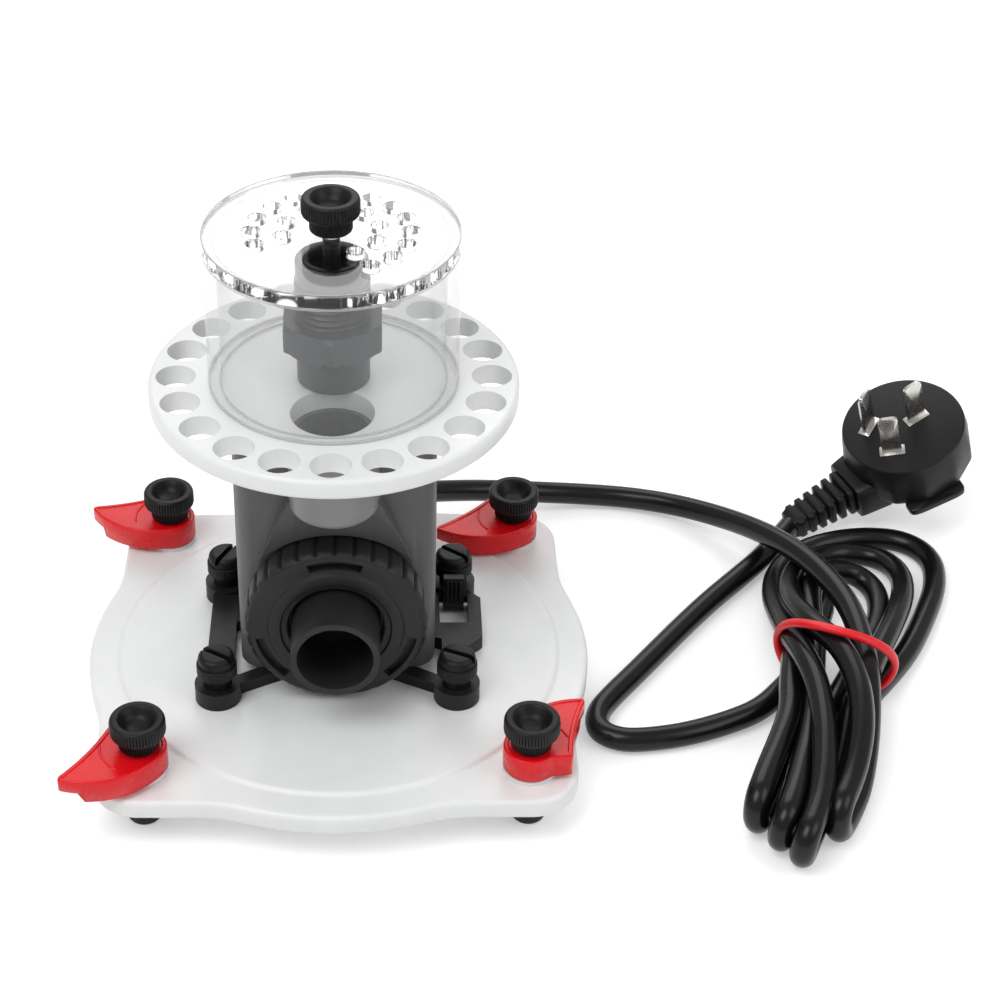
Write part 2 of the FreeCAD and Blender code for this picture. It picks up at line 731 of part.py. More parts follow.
def nut_slots():
    """Three curved spanner slots in the nut's front face."""
    middle, half, deep = size("nut_slot_radius"), size("nut_slot_width") / 2, size("nut_slot_depth")
    outer = Part.makeCylinder(middle + half, deep, Vector(), UP, NUT_SLOT_SPAN)
    inner = Part.makeCylinder(middle - half, deep, Vector(), UP, NUT_SLOT_SPAN)
    arc = outer.cut(inner)
    arcs = []
    for angle in NUT_SLOT_STARTS:
        copy = arc.copy()
        copy.rotate(Vector(), UP, angle)
        arcs.append(copy)
    item = solid("nut_slots", Part.makeCompound(arcs))
    item.Placement = Placement(Vector(), Rotation(ACROSS, UP, -BACK))
    bind(item, **{"Placement.Base.y": "nut_front + nut_slot_depth", "Placement.Base.z": "axis_height"})
    return item


def intake_pipe():
    flange_front = "neck_front - seal_thickness - flange_thickness"
    pipe = cylinder("pipe_outer", "pipe_radius", "neck_front - seal_thickness - pipe_front",
                    ("0", "pipe_front", "axis_height"), BACK)
    flange = cylinder("pipe_flange", "flange_radius", "flange_thickness",
                      ("0", flange_front, "axis_height"), BACK)
    bore = cylinder("pipe_hole", "pipe_bore", "neck_front - seal_thickness - pipe_front",
                    ("0", "pipe_front", "axis_height"), BACK)
    node(cut("pipe_cut", fuse("pipe_solid", pipe, flange), bore), "intake_pipe")
    node(tube("intake_seal_ring", "flange_radius - 1", "neck_bore + 1", "seal_thickness",
              ("0", "neck_front - seal_thickness", "axis_height"), BACK), "intake_seal")


# Motor ----------------------------------------------------------------------------------------------


def motor():
    at = ("0", "housing_rear", "axis_height")
    behind_flange = ("0", "housing_rear + motor_flange", "axis_height")
    flange = box("motor_flange_plate", "2 * motor_flange_half", "motor_flange", "2 * motor_flange_half",
                 ("-motor_flange_half", "housing_rear", "axis_height - motor_flange_half"))
    soft = rounded("motor_flange_soft", flange, "motor_flange_round", lambda edge: edge.BoundBox.YLength > 1
                   and edge.BoundBox.XLength < 0.01 and edge.BoundBox.ZLength < 0.01)
    trim = box("motor_flange_trim", "2 * motor_flange_half", "motor_flange", SEAT_TOP,
               ("-motor_flange_half", "housing_rear", "0"))
    shell = cylinder("motor_shell", "motor_radius", "motor_rear - housing_rear", at, BACK)
    hollow = cylinder("motor_hollow", "motor_radius - motor_wall", "motor_rear - housing_rear - motor_flange",
                      behind_flange, BACK)
    mouth = cylinder("motor_mouth", "can_radius", "motor_flange", at, BACK)
    holes = [
        cylinder("flange_hole_%d" % i, "motor_screw_radius + motor_screw_play", "motor_flange",
                 (x, "housing_rear", z), BACK)
        for i, (x, z) in enumerate(motor_screw_places())
    ]
    node(cut("motor_cut", fuse("motor_solid", soft, shell), hollow, mouth, trim, *holes), "motor_housing")
    can = cylinder("can_outer", "can_radius", "can_rear - housing_rear", at, BACK)
    inside = cylinder("can_inner", "can_radius - can_wall", "can_rear - housing_rear - can_wall", at, BACK)
    node(cut("can_cut", can, inside), "rotor_well")
    node(tube("stator_ring", "motor_radius - motor_wall", "can_radius",
              "stator_rear - housing_rear - motor_flange", behind_flange, BACK), "stator")
    motor_screws()


def motor_screws():
    screws = []
    head_seat = "housing_rear + motor_flange"
    length = "motor_screw_length - motor_screw_tip_gap"
    for i, (x, z) in enumerate(motor_screw_places()):
        shaft = cylinder("motor_screw_shaft_%d" % i, "motor_screw_radius", length,
                         (x, "%s - (%s)" % (head_seat, length), z), BACK)
        head = cylinder("motor_screw_head_%d" % i, "motor_screw_head", "motor_screw_head_height",
                        (x, head_seat, z), BACK)
        screws.append(fuse("motor_screw_%d" % i, shaft, head))
    node(group("motor_screws_group", screws), "motor_screws")


RELIEF_START = Vector(2.0, 47.0, 31.0)
RELIEF_RUN = Vector(0.55, 0.80, -0.25).normalize()


def motor_cap():
    disc = cylinder("cap_disc", "motor_radius", "cap_thickness", ("0", "motor_rear", "axis_height"), BACK)
    rear = size("motor_rear + cap_thickness")
    node(rounded("cap_soft", disc, "cap_round", lambda edge: abs(edge.BoundBox.YMin - rear) < 1e-3),
         "motor_end_cap")


def strain_relief():
    """The tapered sleeve that carries the lead out of the end cap, its root trimmed to the cap."""
    length = size("relief_length")
    sleeve = Part.makeCone(size("relief_start_radius"), size("relief_end_radius"), length,
                           RELIEF_START, RELIEF_RUN)
    rear, wide = size("motor_rear + cap_thickness"), 2 * size("motor_radius")
    wall = Part.makeBox(2 * wide, wide, 2 * wide, Vector(-wide, rear - wide, 0))
    return node(solid("relief_body", sleeve.cut(wall)), "strain_relief")


# Rotor ----------------------------------------------------------------------------------------------

# Radius of each ring of pins on the wheel, and how many pins it has
WHEEL_RINGS = [(8.0, 8), (11.2, 12), (14.4, 16)]
SPIDER_ARMS = 3
SPIDER_ARM = (1.6, 2.6)


def rotor():
    bore = "shaft_radius + running_fit"
    node(cylinder("shaft_body", "shaft_radius", "shaft_rear - shaft_front",
                  ("0", "shaft_front", "axis_height"), BACK), "rotor_shaft")
    node(tube("magnet_ring", "magnet_radius", bore, "magnet_rear - magnet_front",
              ("0", "magnet_front", "axis_height"), BACK), "rotor_magnet")
    node(needle_wheel(bore), "needle_wheel")
    front_bush = tube("bush_front", "bush_radius", "shaft_radius", "bush_length",
                      ("0", "shaft_front", "axis_height"), BACK)
    rear_bush = tube("bush_rear", "bush_radius", "shaft_radius", "bush_length",
                     ("0", "can_rear - can_wall - bush_length", "axis_height"), BACK)
    node(group("bushes", [front_bush, rear_bush]), "shaft_bushes")
    node(bearing_spider(), "bearing_spider")


def needle_wheel(bore):
    length = "magnet_front - wheel_front"
    hub = cylinder("wheel_hub", "wheel_hub_radius", length, ("0", "wheel_front", "axis_height"), BACK)
    plate = cylinder("wheel_plate_disc", "wheel_radius", "wheel_plate",
                     ("0", "wheel_front + wheel_pin_length", "axis_height"), BACK)
    pins = []
    for circle, count in WHEEL_RINGS:
        for i in range(count):
            place = turned(circle, 360.0 * i / count)
            pins.append(cylinder("wheel_pin_%d_%d" % (circle, i), "wheel_pin_radius",
                                 "wheel_pin_length + wheel_plate / 2",
                                 ("%f" % place.x, "wheel_front", "axis_height + (%f)" % place.y), BACK))
    whole = fuse("wheel_solid", hub, plate, *pins)
    return cut("wheel_cut", whole,
               cylinder("wheel_bore", bore, length, ("0", "wheel_front", "axis_height"), BACK))


def bearing_spider():
    """The arms and rim that hold the front bush in the intake."""
    wide, deep = SPIDER_ARM
    inner, outer = size("bush_radius") * 0.7, size("(neck_bore + chamber_radius) / 2")
    start = Vector(0, size("shaft_front + spider_set_back"), size("axis_height"))
    arms = []
    for i in range(SPIDER_ARMS):
        arm = Part.makeBox(wide, deep, outer - inner, Vector(-wide / 2, 0, inner))
        arm.rotate(Vector(), BACK, 360 * i / SPIDER_ARMS)
        item = solid("spider_arm_%d" % i, arm)
        item.Placement = Placement(start, Rotation())
        arms.append(item)
    front = ("0", "shaft_front", "axis_height")
    ring = tube("spider_hub", "bush_radius + spider_hub_wall", "bush_radius", "bush_length", front, BACK)
    rim = tube("spider_ring", "chamber_radius", "neck_bore", "spider_rim",
               ("0", "shaft_front + spider_set_back", "axis_height"), BACK)
    space = cylinder("spider_space", "bush_radius", "bush_length", front, BACK)
    return cut("spider_cut", fuse("spider_solid", ring, rim, *arms), space)


# Bubble plate, cup and post -------------------------------------------------------------------------


def origin_plane(body, role):
    return next(plane for plane in body.Origin.OriginFeatures if plane.Role == role)


def sketch_circle(body, name, radius, x="0", y="0", height="0"):
    """A sketch on the body's XY plane with one circle, its radius and middle bound to the sheet."""
    sketch = body.newObject("Sketcher::SketchObject", name)
    sketch.AttachmentSupport = [(origin_plane(body, "XY_Plane"), "")]
    sketch.MapMode = "FlatFace"
    bind(sketch, **{"AttachmentOffset.Base.z": height})
    sketch.addGeometry(Part.Circle(Vector(size(x), size(y), 0), UP, size(radius)), False)
    sketch.addConstraint(Sketcher.Constraint("Radius", 0, size(radius)))
    sketch.renameConstraint(0, "Radius")
    bind(sketch, **{"Constraints.Radius": radius})
    for key, axis, text in (("Across", "DistanceX", x), ("Along", "DistanceY", y)):
        index = sketch.addConstraint(Sketcher.Constraint(axis, -1, 1, 0, 3, size(text)))
        sketch.renameConstraint(index, key)
        bind(sketch, **{"Constraints." + key: text})
    return sketch


def pad(body, name, sketch, length):
    item = body.newObject("PartDesign::Pad", name)
    item.Profile = sketch
    bind(item, Length=length)
    sketch.Visibility = False
    return item


def pocket_through(body, name, sketch):
    """A pocket right through, checked to have taken material away."""
    before = body.Shape.Volume
    item = body.newObject("PartDesign::Pocket", name)
    item.Profile = sketch
    item.Type = "ThroughAll"
    item.Midplane = True
    doc.recompute()
    if body.Shape.Volume > before - 1.0:
        raise RuntimeError(name + " cut nothing")
    return item


def polar(body, name, feature, count, angle):
    item = body.newObject("PartDesign::PolarPattern", name)
    item.Originals = [feature]
    item.Axis = (origin_axis(body), [""])
    item.Angle = angle
    item.Occurrences = int(size(count))
    body.Tip = item
    return item


def origin_axis(body):
    return next(line for line in body.Origin.OriginFeatures if line.Role == "Z_Axis")


def bubble_plate():
    body = doc.addObject("PartDesign::Body", "bubble_plate_body")
    disc = pad(body, "plate_disc", sketch_circle(body, "plate_outline", "plate_radius"), "plate_thickness")
    doc.recompute()
    rim = body.newObject("PartDesign::Fillet", "plate_rim")
    rim.Base = (disc, ["Edge%d" % i for i, edge in enumerate(disc.Shape.Edges, start=1)
                       if edge.Curve.TypeId == "Part::GeomCircle"])
    bind(rim, Radius="plate_rim_round")
    doc.recompute()
    first = sketch_circle(body, "plate_hole_outline", "plate_hole_radius", "0", "-plate_hole_circle")
    hole = pocket_through(body, "plate_hole", first)
    polar(body, "plate_holes", hole, "plate_hole_count", 360)
    doc.recompute()
    pocket_through(body, "plate_outlet", sketch_circle(
        body, "plate_outlet_outline", "outlet_window_radius", "0", "outlet_offset"))
    put(body, ("0", "0", "plate_bottom"))
    return node(body, "bubble_plate")


LID_FIRST_ANGLE = -60.0


def cup():
    node(tube("cup_ring", "cup_radius", "cup_radius - cup_wall", "%s - (%s)" % (LID_BOTTOM, CUP_BOTTOM),
              ("0", "0", CUP_BOTTOM)), "cup_tube")
    body = doc.addObject("PartDesign::Body", "cup_lid_body")
    pad(body, "lid_disc", sketch_circle(body, "lid_outline", "cup_radius"), "lid_thickness")
    doc.recompute()
    screw_hole = sketch_circle(body, "lid_screw_outline", "knob_shaft_radius + running_fit")
    pocket_through(body, "lid_screw_hole", screw_hole)
    for ring in ("outer", "inner"):
        circle = size("lid_%s_circle" % ring)
        start = turned(circle, LID_FIRST_ANGLE)
        sketch = sketch_circle(body, "lid_%s_outline" % ring, "lid_hole_radius",
                               "lid_%s_circle * %.6f" % (ring, start.x / circle),
                               "lid_%s_circle * %.6f" % (ring, start.y / circle))
        hole = pocket_through(body, "lid_%s_hole" % ring, sketch)
        count = size("lid_%s_count" % ring)
        swept = size("lid_%s_step" % ring) * (count - 1)
        polar(body, "lid_%s_holes" % ring, hole, "lid_%s_count" % ring, swept)
        doc.recompute()
    put(body, ("0", "0", LID_BOTTOM))
    node(body, "cup_lid")


def post():
    foot = cylinder("post_foot", "post_foot_radius", "post_foot_height", ("0", "0", PLATE_TOP))
    hexed = hexagon("post_hex", "post_hex_radius", "post_hex_height",
                    ("0", "0", PLATE_TOP + " + post_foot_height"))
    stem = cylinder("post_stem", "post_thread_radius", "post_height - post_foot_height",
                    ("0", "0", PLATE_TOP + " + post_foot_height"))
    bore = cylinder("post_hole", "post_bore", "post_height", ("0", "0", PLATE_TOP))
    node(cut("post_cut", fuse("post_solid", foot, hexed, stem), bore), "post")
    low = POST_TOP + " - insert_sleeve"
    sleeve = tube("insert_sleeve_ring", "post_bore", "knob_shaft_radius + running_fit", "insert_sleeve",
                  ("0", "0", low))
    mouth = cylinder("insert_mouth", "insert_mouth_radius", "insert_mouth_depth",
                     ("0", "0", POST_TOP + " - insert_mouth_depth"))
    node(cut("post_insert_cut", sleeve, mouth), "post_insert")
    length = "cup_top + body_gap - (%s) + insert_mouth_depth + shaft_into_insert" % POST_TOP
    node(thumbscrew("cup_knob", ("0", "0", "cup_top + body_gap"), length), "cup_thumbscrew")


# Lead, hank and plug --------------------------------------------------------------------------------

LEAD_END = Vector(158.9, -6.3, 20.2)
LEAD_ROUTE = [
    (22.0, 76.0, 21.5), (33.0, 85.0, 16.0), (48.0, 92.5, 11.0), (66.0, 97.8, 6.4),
    (84.0, 99.6, 4.2), (101.0, 97.4, 4.0), (116.0, 91.0, 5.2), (129.0, 79.0, 8.8),
    (139.0, 64.3, 13.8), (147.6, 48.8, 17.6), (154.0, 33.4, 19.6), (158.4, 17.5, 20.6),
    (159.6, 4.0, 20.8),
]
TAIL_ROUTE = [
    (128.6, -13.9, 3.8), (117.0, -20.2, 3.8), (105.0, -24.9, 3.8), (93.5, -27.3, 3.8),
    (84.5, -27.6, 3.8), (78.0, -23.2, 3.8), (78.6, -15.2, 3.8), (83.6, -7.4, 3.8),
    (91.0, 2.2, 3.8), (100.0, 14.4, 3.8), (109.8, 27.6, 3.8), (120.0, 40.6, 3.8),
    (130.5, 52.5, 3.8), (141.0, 64.2, 4.6),
]
# The hank lies along a line turned from +Y; its outline is in that line's own frame
HANK_MIDDLE = Vector(147.5, -10.0, 0.0)
HANK_TURN = -24.0
HANK_HEIGHT = 12.0
HANK_WAIST_HEIGHT = 24.0
HANK_WAIST_HALF_WIDTH = 17.0
HANK_WAIST_HALF_LENGTH = 9.0
HANK_OUTLINE = [
    (-8, -58), (0, -67), (8, -71), (15, -69), (19, -60), (21, -35), (17, -9), (17, 9),
    (18, 40), (19, 66), (15, 82), (6, 91), (-6, 89), (-21, 74), (-32, 55), (-31, 36),
    (-20, 9), (-17, -9), (-11, -25), (-11, -45),
]
PLUG_PLACE = Vector(194.6, 100.1, 14.1)
PLUG_TURN = 26.4
PLUG_TILT = 15.7
PLUG_LEAN = -15.8


ARC_SHARE = 0.45


def routed_tube(name, points, radius):
    """A round tube along straight runs joined by tangent arcs."""
    points = [Vector(*point) for point in points]
    edges, bends, start = [], [], points[0]
    for before, corner, after in zip(points, points[1:], points[2:]):
        come, go = corner - before, after - corner
        back = ARC_SHARE * min(come.Length, go.Length)
        bend = back / math.tan(come.getAngle(go) / 2)
        bends.append("%.0f" % bend)
        come.normalize()
        go.normalize()
        enter, leave = corner - come * back, corner + go * back
        middle = corner + (go - come).normalize() * (math.hypot(bend, back) - bend)
        edges.append(Part.LineSegment(start, enter).toShape())
        edges.append(Part.Arc(enter, middle, leave).toShape())
        start = leave
    edges.append(Part.LineSegment(start, points[-1]).toShape())
    path = Part.Wire(edges)
    profile = Part.Wire([Part.Circle(points[0], points[1] - points[0], radius).toShape()])
    shape = path.makePipeShell([profile], True, False)
    expected = math.pi * radius ** 2 * path.Length
    if abs(shape.Volume / expected - 1) > 0.01:
        raise RuntimeError("%s has volume %.0f, not %.0f" % (name, shape.Volume, expected))
    print("%s: %.0f mm long, arc radii %s mm" % (name, path.Length, " ".join(bends)))
    return solid(name + "_tube", shape)


def hank():
    outline = [Vector(x, y, 0) for x, y in HANK_OUTLINE]
    coil = Part.Face(Part.makePolygon(outline + outline[:1])).extrude(Vector(0, 0, HANK_HEIGHT))
    half, reach, high = HANK_WAIST_HALF_WIDTH, HANK_WAIST_HALF_LENGTH, HANK_WAIST_HEIGHT
    waist = Part.makeBox(2 * half, 2 * reach, high, Vector(-half, -reach, 0))
    body = coil.fuse(waist).removeSplitter()
    gap, width = size("tie_thickness + body_gap"), size("tie_width + body_gap")
    groove = Part.makeBox(4 * half, width, 2 * high, Vector(-2 * half, -width / 2, -high / 2))
    core = Part.makeBox(2 * (half - gap), width, high - 2 * gap, Vector(gap - half, -width / 2, gap))
    body = body.cut(groove.cut(core))
    item = solid("hank_body", body)
    item.Placement = Placement(HANK_MIDDLE, Rotation(UP, HANK_TURN))
    return node(item, "cord_hank")


def hank_tie():
    half, high, width = HANK_WAIST_HALF_WIDTH, HANK_WAIST_HEIGHT, size("tie_width")
    thick = size("tie_thickness")
    outer = Part.makeBox(2 * half, width, high, Vector(-half, -width / 2, 0))
    inner = Part.makeBox(2 * (half - thick), width, high - 2 * thick, Vector(thick - half, -width / 2, thick))
    item = solid("tie_body", outer.cut(inner))
    item.Placement = Placement(HANK_MIDDLE, Rotation(UP, HANK_TURN))
    return node(item, "cord_tie")


def plug_placement():
    tilt = Rotation(ACROSS, PLUG_TILT).multiply(Rotation(BACK, PLUG_LEAN))
    return Placement(PLUG_PLACE, tilt.multiply(Rotation(UP, PLUG_TURN)))


def plug():
    """A round side-entry plug, its face up. The lead leaves along its own -X."""
    depth, waist = size("plug_depth"), size("plug_waist")
    back = Part.makeCone(size("plug_back_radius"), size("plug_body_radius"), waist)
    body = Part.makeCone(size("plug_body_radius"), size("plug_face_radius"), depth - waist,
                         Vector(0, 0, waist))
    reach = size("plug_relief_reach")
    root = size("plug_relief_root")
    relief = Part.makeCone(size("plug_relief_thick"), size("plug_relief_thin"), reach - root,
                           Vector(-root, 0, waist), -ACROSS)
    shape = back.fuse([body, relief]).removeSplitter()
    for x, y, turn in PIN_PLACES:
        shape = shape.cut(pin_blade(x, y, turn))
    item = solid("plug_solid", shape)
    item.Placement = plug_placement()
    node(item, "plug_body")
    pins = Part.makeCompound([pin_blade(x, y, turn) for x, y, turn in PIN_PLACES])
    pin_item = solid("plug_pins_solid", pins)
    pin_item.Placement = plug_placement()
    node(pin_item, "plug_pins")


# Flat pins in the 10 A three-pin pattern: two at 30 degrees on the lead's side, one in line
PIN_PLACES = [(-8.95, 6.85, 30.0), (-8.95, -6.85, 150.0), (5.3, 0.0, 0.0)]


def pin_blade(x, y, turn):
    wide, thick = size("pin_width"), size("pin_thickness")
    root = size("pin_root")
    blade = Part.makeBox(wide, thick, root + size("pin_length"), Vector(-wide / 2, -thick / 2, 0))
    blade.rotate(Vector(), UP, turn)
    blade.translate(Vector(x, y, size("plug_depth") - root))
    return blade


def lead():
    exit_point = RELIEF_START + RELIEF_RUN * size("relief_length")
    radius = size("lead_radius")
    first = [tuple(exit_point)] + LEAD_ROUTE + [tuple(LEAD_END)]
    node(routed_tube("cord_lead", first, radius), "cord_lead")
    end = plug_placement().multVec(Vector(-size("plug_relief_reach"), 0, size("plug_waist")))
    node(routed_tube("cord_tail", TAIL_ROUTE + [tuple(end)], radius), "cord_tail")


# Build and export -----------------------------------------------------------------------------------


def build():
    base_plate()
    feet()
    cams_and_knobs()
    bracket()
    release_tab()
    bracket_screws()
    pump_housing()
    union_nut()
    intake_pipe()
    motor()
    motor_cap()
    strain_relief()
    rotor()
    bubble_plate()
    cup()
    post()
    hank()
    hank_tie()
    plug()
    lead()
    doc.recompute()


def check():
    for item in doc.Objects:
        if "Invalid" in item.State or "Error" in item.State:
            raise RuntimeError("%s failed: %s" % (item.Label, item.State))
    for label, item in NODES.items():
        shape = item.Shape
        if shape.isNull() or not shape.isValid() or not shape.Solids:
            raise RuntimeError(label + " has no valid solid")


def export():
    os.makedirs("parts", exist_ok=True)
    for label, item in NODES.items():
        item.Shape.exportStep("parts/%s.step" % label)
    print(len(NODES), "nodes")


build()
check()
export()
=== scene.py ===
"""Looks for a protein skimmer's base: the needle-wheel pump on its footed plate, the cam latches, the
bubble plate, the clear cup and the mains lead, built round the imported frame. Metres, +Z up."""

import math

import bmesh
import bpy
import numpy as np
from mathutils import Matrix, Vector


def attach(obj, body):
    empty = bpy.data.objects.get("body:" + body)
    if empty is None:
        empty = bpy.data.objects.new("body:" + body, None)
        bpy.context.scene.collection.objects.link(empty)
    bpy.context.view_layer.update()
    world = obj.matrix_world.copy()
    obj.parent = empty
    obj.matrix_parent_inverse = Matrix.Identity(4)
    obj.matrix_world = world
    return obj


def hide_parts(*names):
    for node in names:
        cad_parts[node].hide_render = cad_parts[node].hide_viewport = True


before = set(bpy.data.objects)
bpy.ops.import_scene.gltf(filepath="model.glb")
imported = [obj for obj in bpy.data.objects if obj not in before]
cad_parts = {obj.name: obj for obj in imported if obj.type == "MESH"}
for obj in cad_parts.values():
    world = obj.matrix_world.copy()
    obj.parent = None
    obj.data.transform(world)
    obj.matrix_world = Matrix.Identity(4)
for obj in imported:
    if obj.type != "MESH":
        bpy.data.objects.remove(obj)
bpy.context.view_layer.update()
MM = 0.001
TURN = 2 * math.pi

# Heights and places shared by several pieces, in millimetres ---------------------------------------

BASE_BOTTOM, BASE_TOP, PLATEAU_TOP = 12.0, 18.0, 18.9
KNOB_PITCH = 55.5
AXIS_HEIGHT = 46.8
OUTLET_Y = -18.8
PLATE_TOP = 115.3
CORNERS = {"front_left": (-1, -1), "front_right": (1, -1), "rear_left": (-1, 1), "rear_right": (1, 1)}

# Material nodes --------------------------------------------------------------------------------------


def start_material(name):
    """A new material: itself, its node tree, its shader and its coordinates node."""
    material = bpy.data.materials.new(name)
    material.use_nodes = True
    tree = material.node_tree
    shader = tree.nodes["Principled BSDF"]
    where = tree.nodes.new("ShaderNodeTexCoord")
    return material, tree, shader, where


def noise(tree, where, scale, detail=3.0, stretch=(1.0, 1.0, 1.0)):
    """Noise on the piece's own coordinates, scale in cells a metre."""
    mapping = tree.nodes.new("ShaderNodeMapping")
    mapping.inputs["Scale"].default_value = stretch
    texture = tree.nodes.new("ShaderNodeTexNoise")
    texture.inputs["Scale"].default_value = scale
    texture.inputs["Detail"].default_value = detail
    tree.links.new(where.outputs["Object"], mapping.inputs["Vector"])
    tree.links.new(mapping.outputs["Vector"], texture.inputs["Vector"])
    return texture.outputs["Fac"]


def spread(tree, value, low, high):
    """Stretches a 0 to 1 pattern to run from low to high."""
    node = tree.nodes.new("ShaderNodeMapRange")
    node.inputs["To Min"].default_value = low
    node.inputs["To Max"].default_value = high
    tree.links.new(value, node.inputs["Value"])
    return node.outputs["Result"]


def tinted(tree, pattern, dark, light):
    """Turns a 0 to 1 pattern into a colour between dark and light."""
    ramp = tree.nodes.new("ShaderNodeValToRGB")
    ramp.color_ramp.elements[0].position, ramp.color_ramp.elements[1].position = 0.35, 0.65
    ramp.color_ramp.elements[0].color = (*dark, 1)
    ramp.color_ramp.elements[1].color = (*light, 1)
    tree.links.new(pattern, ramp.inputs["Fac"])
    return ramp.outputs["Color"]


def bumped(tree, shader, height, depth):
    """Raises the surface by the pattern, by up to depth metres."""
    bump = tree.nodes.new("ShaderNodeBump")
    bump.inputs["Strength"].default_value = 1.0
    bump.inputs["Distance"].default_value = depth
    tree.links.new(height, bump.inputs["Height"])
    tree.links.new(bump.outputs["Normal"], shader.inputs["Normal"])


def moulded(name, colour, gloss, grain=2200.0, depth=1.5e-5, vary=0.06, bleed=0.0, shine=0.5):
    """Moulded plastic: a slightly cloudy colour, uneven gloss and a fine spark-eroded grain.
    gloss is the shader's roughness, shine its mirror share and bleed how much light spreads inside."""
    material, tree, shader, where = start_material(name)
    clouds = noise(tree, where, 90.0)
    dark = tuple(c * (1 - vary) for c in colour)
    light = tuple(min(1.0, c * (1 + vary)) for c in colour)
    tree.links.new(tinted(tree, clouds, dark, light), shader.inputs["Base Color"])
    tree.links.new(spread(tree, noise(tree, where, 400.0), gloss - 0.06, gloss + 0.06),
                   shader.inputs["Roughness"])
    bumped(tree, shader, noise(tree, where, grain, 2.0), depth)
    shader.inputs["Specular IOR Level"].default_value = shine
    if bleed:
        shader.inputs["Subsurface Weight"].default_value = bleed
        shader.inputs["Subsurface Radius"].default_value = (1.0, 0.95, 0.9)
        shader.inputs["Subsurface Scale"].default_value = 0.004
    return material


def metal(name, colour, gloss, stretch=(1.0, 1.0, 0.08)):
    """Metal with fine drawn lines along one direction and a few duller patches."""
    material, tree, shader, where = start_material(name)
    shader.inputs["Metallic"].default_value = 1.0
    lines = noise(tree, where, 3500.0, 4.0, stretch)
    dark = tuple(c * 0.8 for c in colour)
    tree.links.new(tinted(tree, lines, dark, colour), shader.inputs["Base Color"])
    tree.links.new(spread(tree, noise(tree, where, 300.0), gloss - 0.08, gloss + 0.12),
                   shader.inputs["Roughness"])
    bumped(tree, shader, lines, 4e-6)
    return material


def acrylic(name, tint, gloss):
    """Clear cast acrylic with the faintest haze."""
    material, tree, shader, where = start_material(name)
    shader.inputs["Transmission Weight"].default_value = 1.0
    shader.inputs["IOR"].default_value = 1.49
    light = tuple(min(1.0, c * 1.01) for c in tint)
    tree.links.new(tinted(tree, noise(tree, where, 60.0), tint, light), shader.inputs["Base Color"])
    tree.links.new(spread(tree, noise(tree, where, 150.0), gloss, gloss + 0.02), shader.inputs["Roughness"])
    return material


def thin_clear(name, tint, share):
    """Clear plastic whose two faces are so near each other that what is behind it isn't shifted.
    share is how much of it is seen face on, its haze; towards its edges more of its grey shows, a painted
    shade for the light bent in the wall's thickness."""
    material, tree, shader, where = start_material(name)
    pale = tuple(c * 0.97 for c in tint)
    tree.links.new(tinted(tree, noise(tree, where, 60.0), pale, tint), shader.inputs["Base Color"])
    tree.links.new(spread(tree, noise(tree, where, 150.0), 0.04, 0.10), shader.inputs["Roughness"])
    shader.inputs["Specular IOR Level"].default_value = 1.0
    # Painted shade: the grey shows more where the surface turns away from the eye, standing in for light
    # bent in the thickness.
    facing = tree.nodes.new("ShaderNodeLayerWeight")
    facing.inputs["Blend"].default_value = 0.22
    tree.links.new(spread(tree, facing.outputs["Facing"], share, share + 0.5), shader.inputs["Alpha"])
    return material


MILKY = moulded("milky_white_plastic", (0.80, 0.81, 0.81), 0.38, grain=1500, bleed=0.25, vary=0.015)
PLATE_WHITE = moulded("satin_white_plastic", (0.80, 0.81, 0.81), 0.34, grain=1500, bleed=0.2, vary=0.01)
LATCH_RED = moulded("glossy_red_plastic", (0.74, 0.004, 0.009), 0.28, vary=0.04, shine=0.35)
KNOB_BLACK = moulded("knob_black_plastic", (0.007, 0.007, 0.0075), 0.42, vary=0.15, shine=0.24)
BRACKET_BLACK = moulded("bracket_black_plastic", (0.011, 0.0115, 0.0125), 0.42, depth=3e-5, vary=0.12,
                        shine=0.28)
NUT_BLACK = moulded("nut_black_plastic", (0.018, 0.0185, 0.020), 0.47, depth=3e-5, vary=0.12, shine=0.28)
PIPE_BLACK = moulded("pipe_black_plastic", (0.017, 0.0175, 0.018), 0.38, vary=0.12, shine=0.28)
MOTOR_BLACK = moulded("motor_black_plastic", (0.016, 0.0165, 0.018), 0.42, depth=3e-5, vary=0.12, shine=0.28)
HOUSING_GREY = moulded("housing_grey_plastic", (0.098, 0.10, 0.104), 0.36, depth=2e-5, shine=0.35)
# The outlet is the same moulding as the housing; this lighter copy of the housing's grey is painted light.
LIT_OUTLET_GREY = moulded("lit_outlet_grey_plastic", (0.22, 0.222, 0.226), 0.34, depth=1e-5)
POST_GREY = moulded("post_grey_plastic", (0.068, 0.071, 0.076), 0.36, depth=2e-5, shine=0.35)
RUBBER = moulded("foot_black_rubber", (0.014, 0.014, 0.014), 0.6, grain=900, depth=5e-5, vary=0.15,
                 shine=0.20)
SHEATH = moulded("black_cord_sheath", (0.005, 0.005, 0.0053), 0.25, grain=700, depth=3e-6, vary=0.1,
                 shine=0.30)
PLUG_BLACK = moulded("plug_black_plastic", (0.008, 0.008, 0.0085), 0.38, depth=3e-5, vary=0.12, shine=0.25)
TIE_RED = moulded("soft_red_tie", (0.74, 0.004, 0.012), 0.36, grain=1000, vary=0.06, bleed=0.1)
WHEEL_GREY = moulded("wheel_light_grey", (0.55, 0.56, 0.57), 0.4)
POTTING = moulded("potting_black", (0.02, 0.02, 0.02), 0.3)
FERRITE = moulded("sintered_magnet", (0.05, 0.05, 0.055), 0.6, grain=600, depth=5e-5)
CLEAR = acrylic("clear_acrylic", (0.985, 0.99, 0.99), 0.03)
# The wall: a faint haze face on, with painted shade towards its edges.
CLEAR_WALL = thin_clear("clear_wall", (0.72, 0.73, 0.73), 0.045)
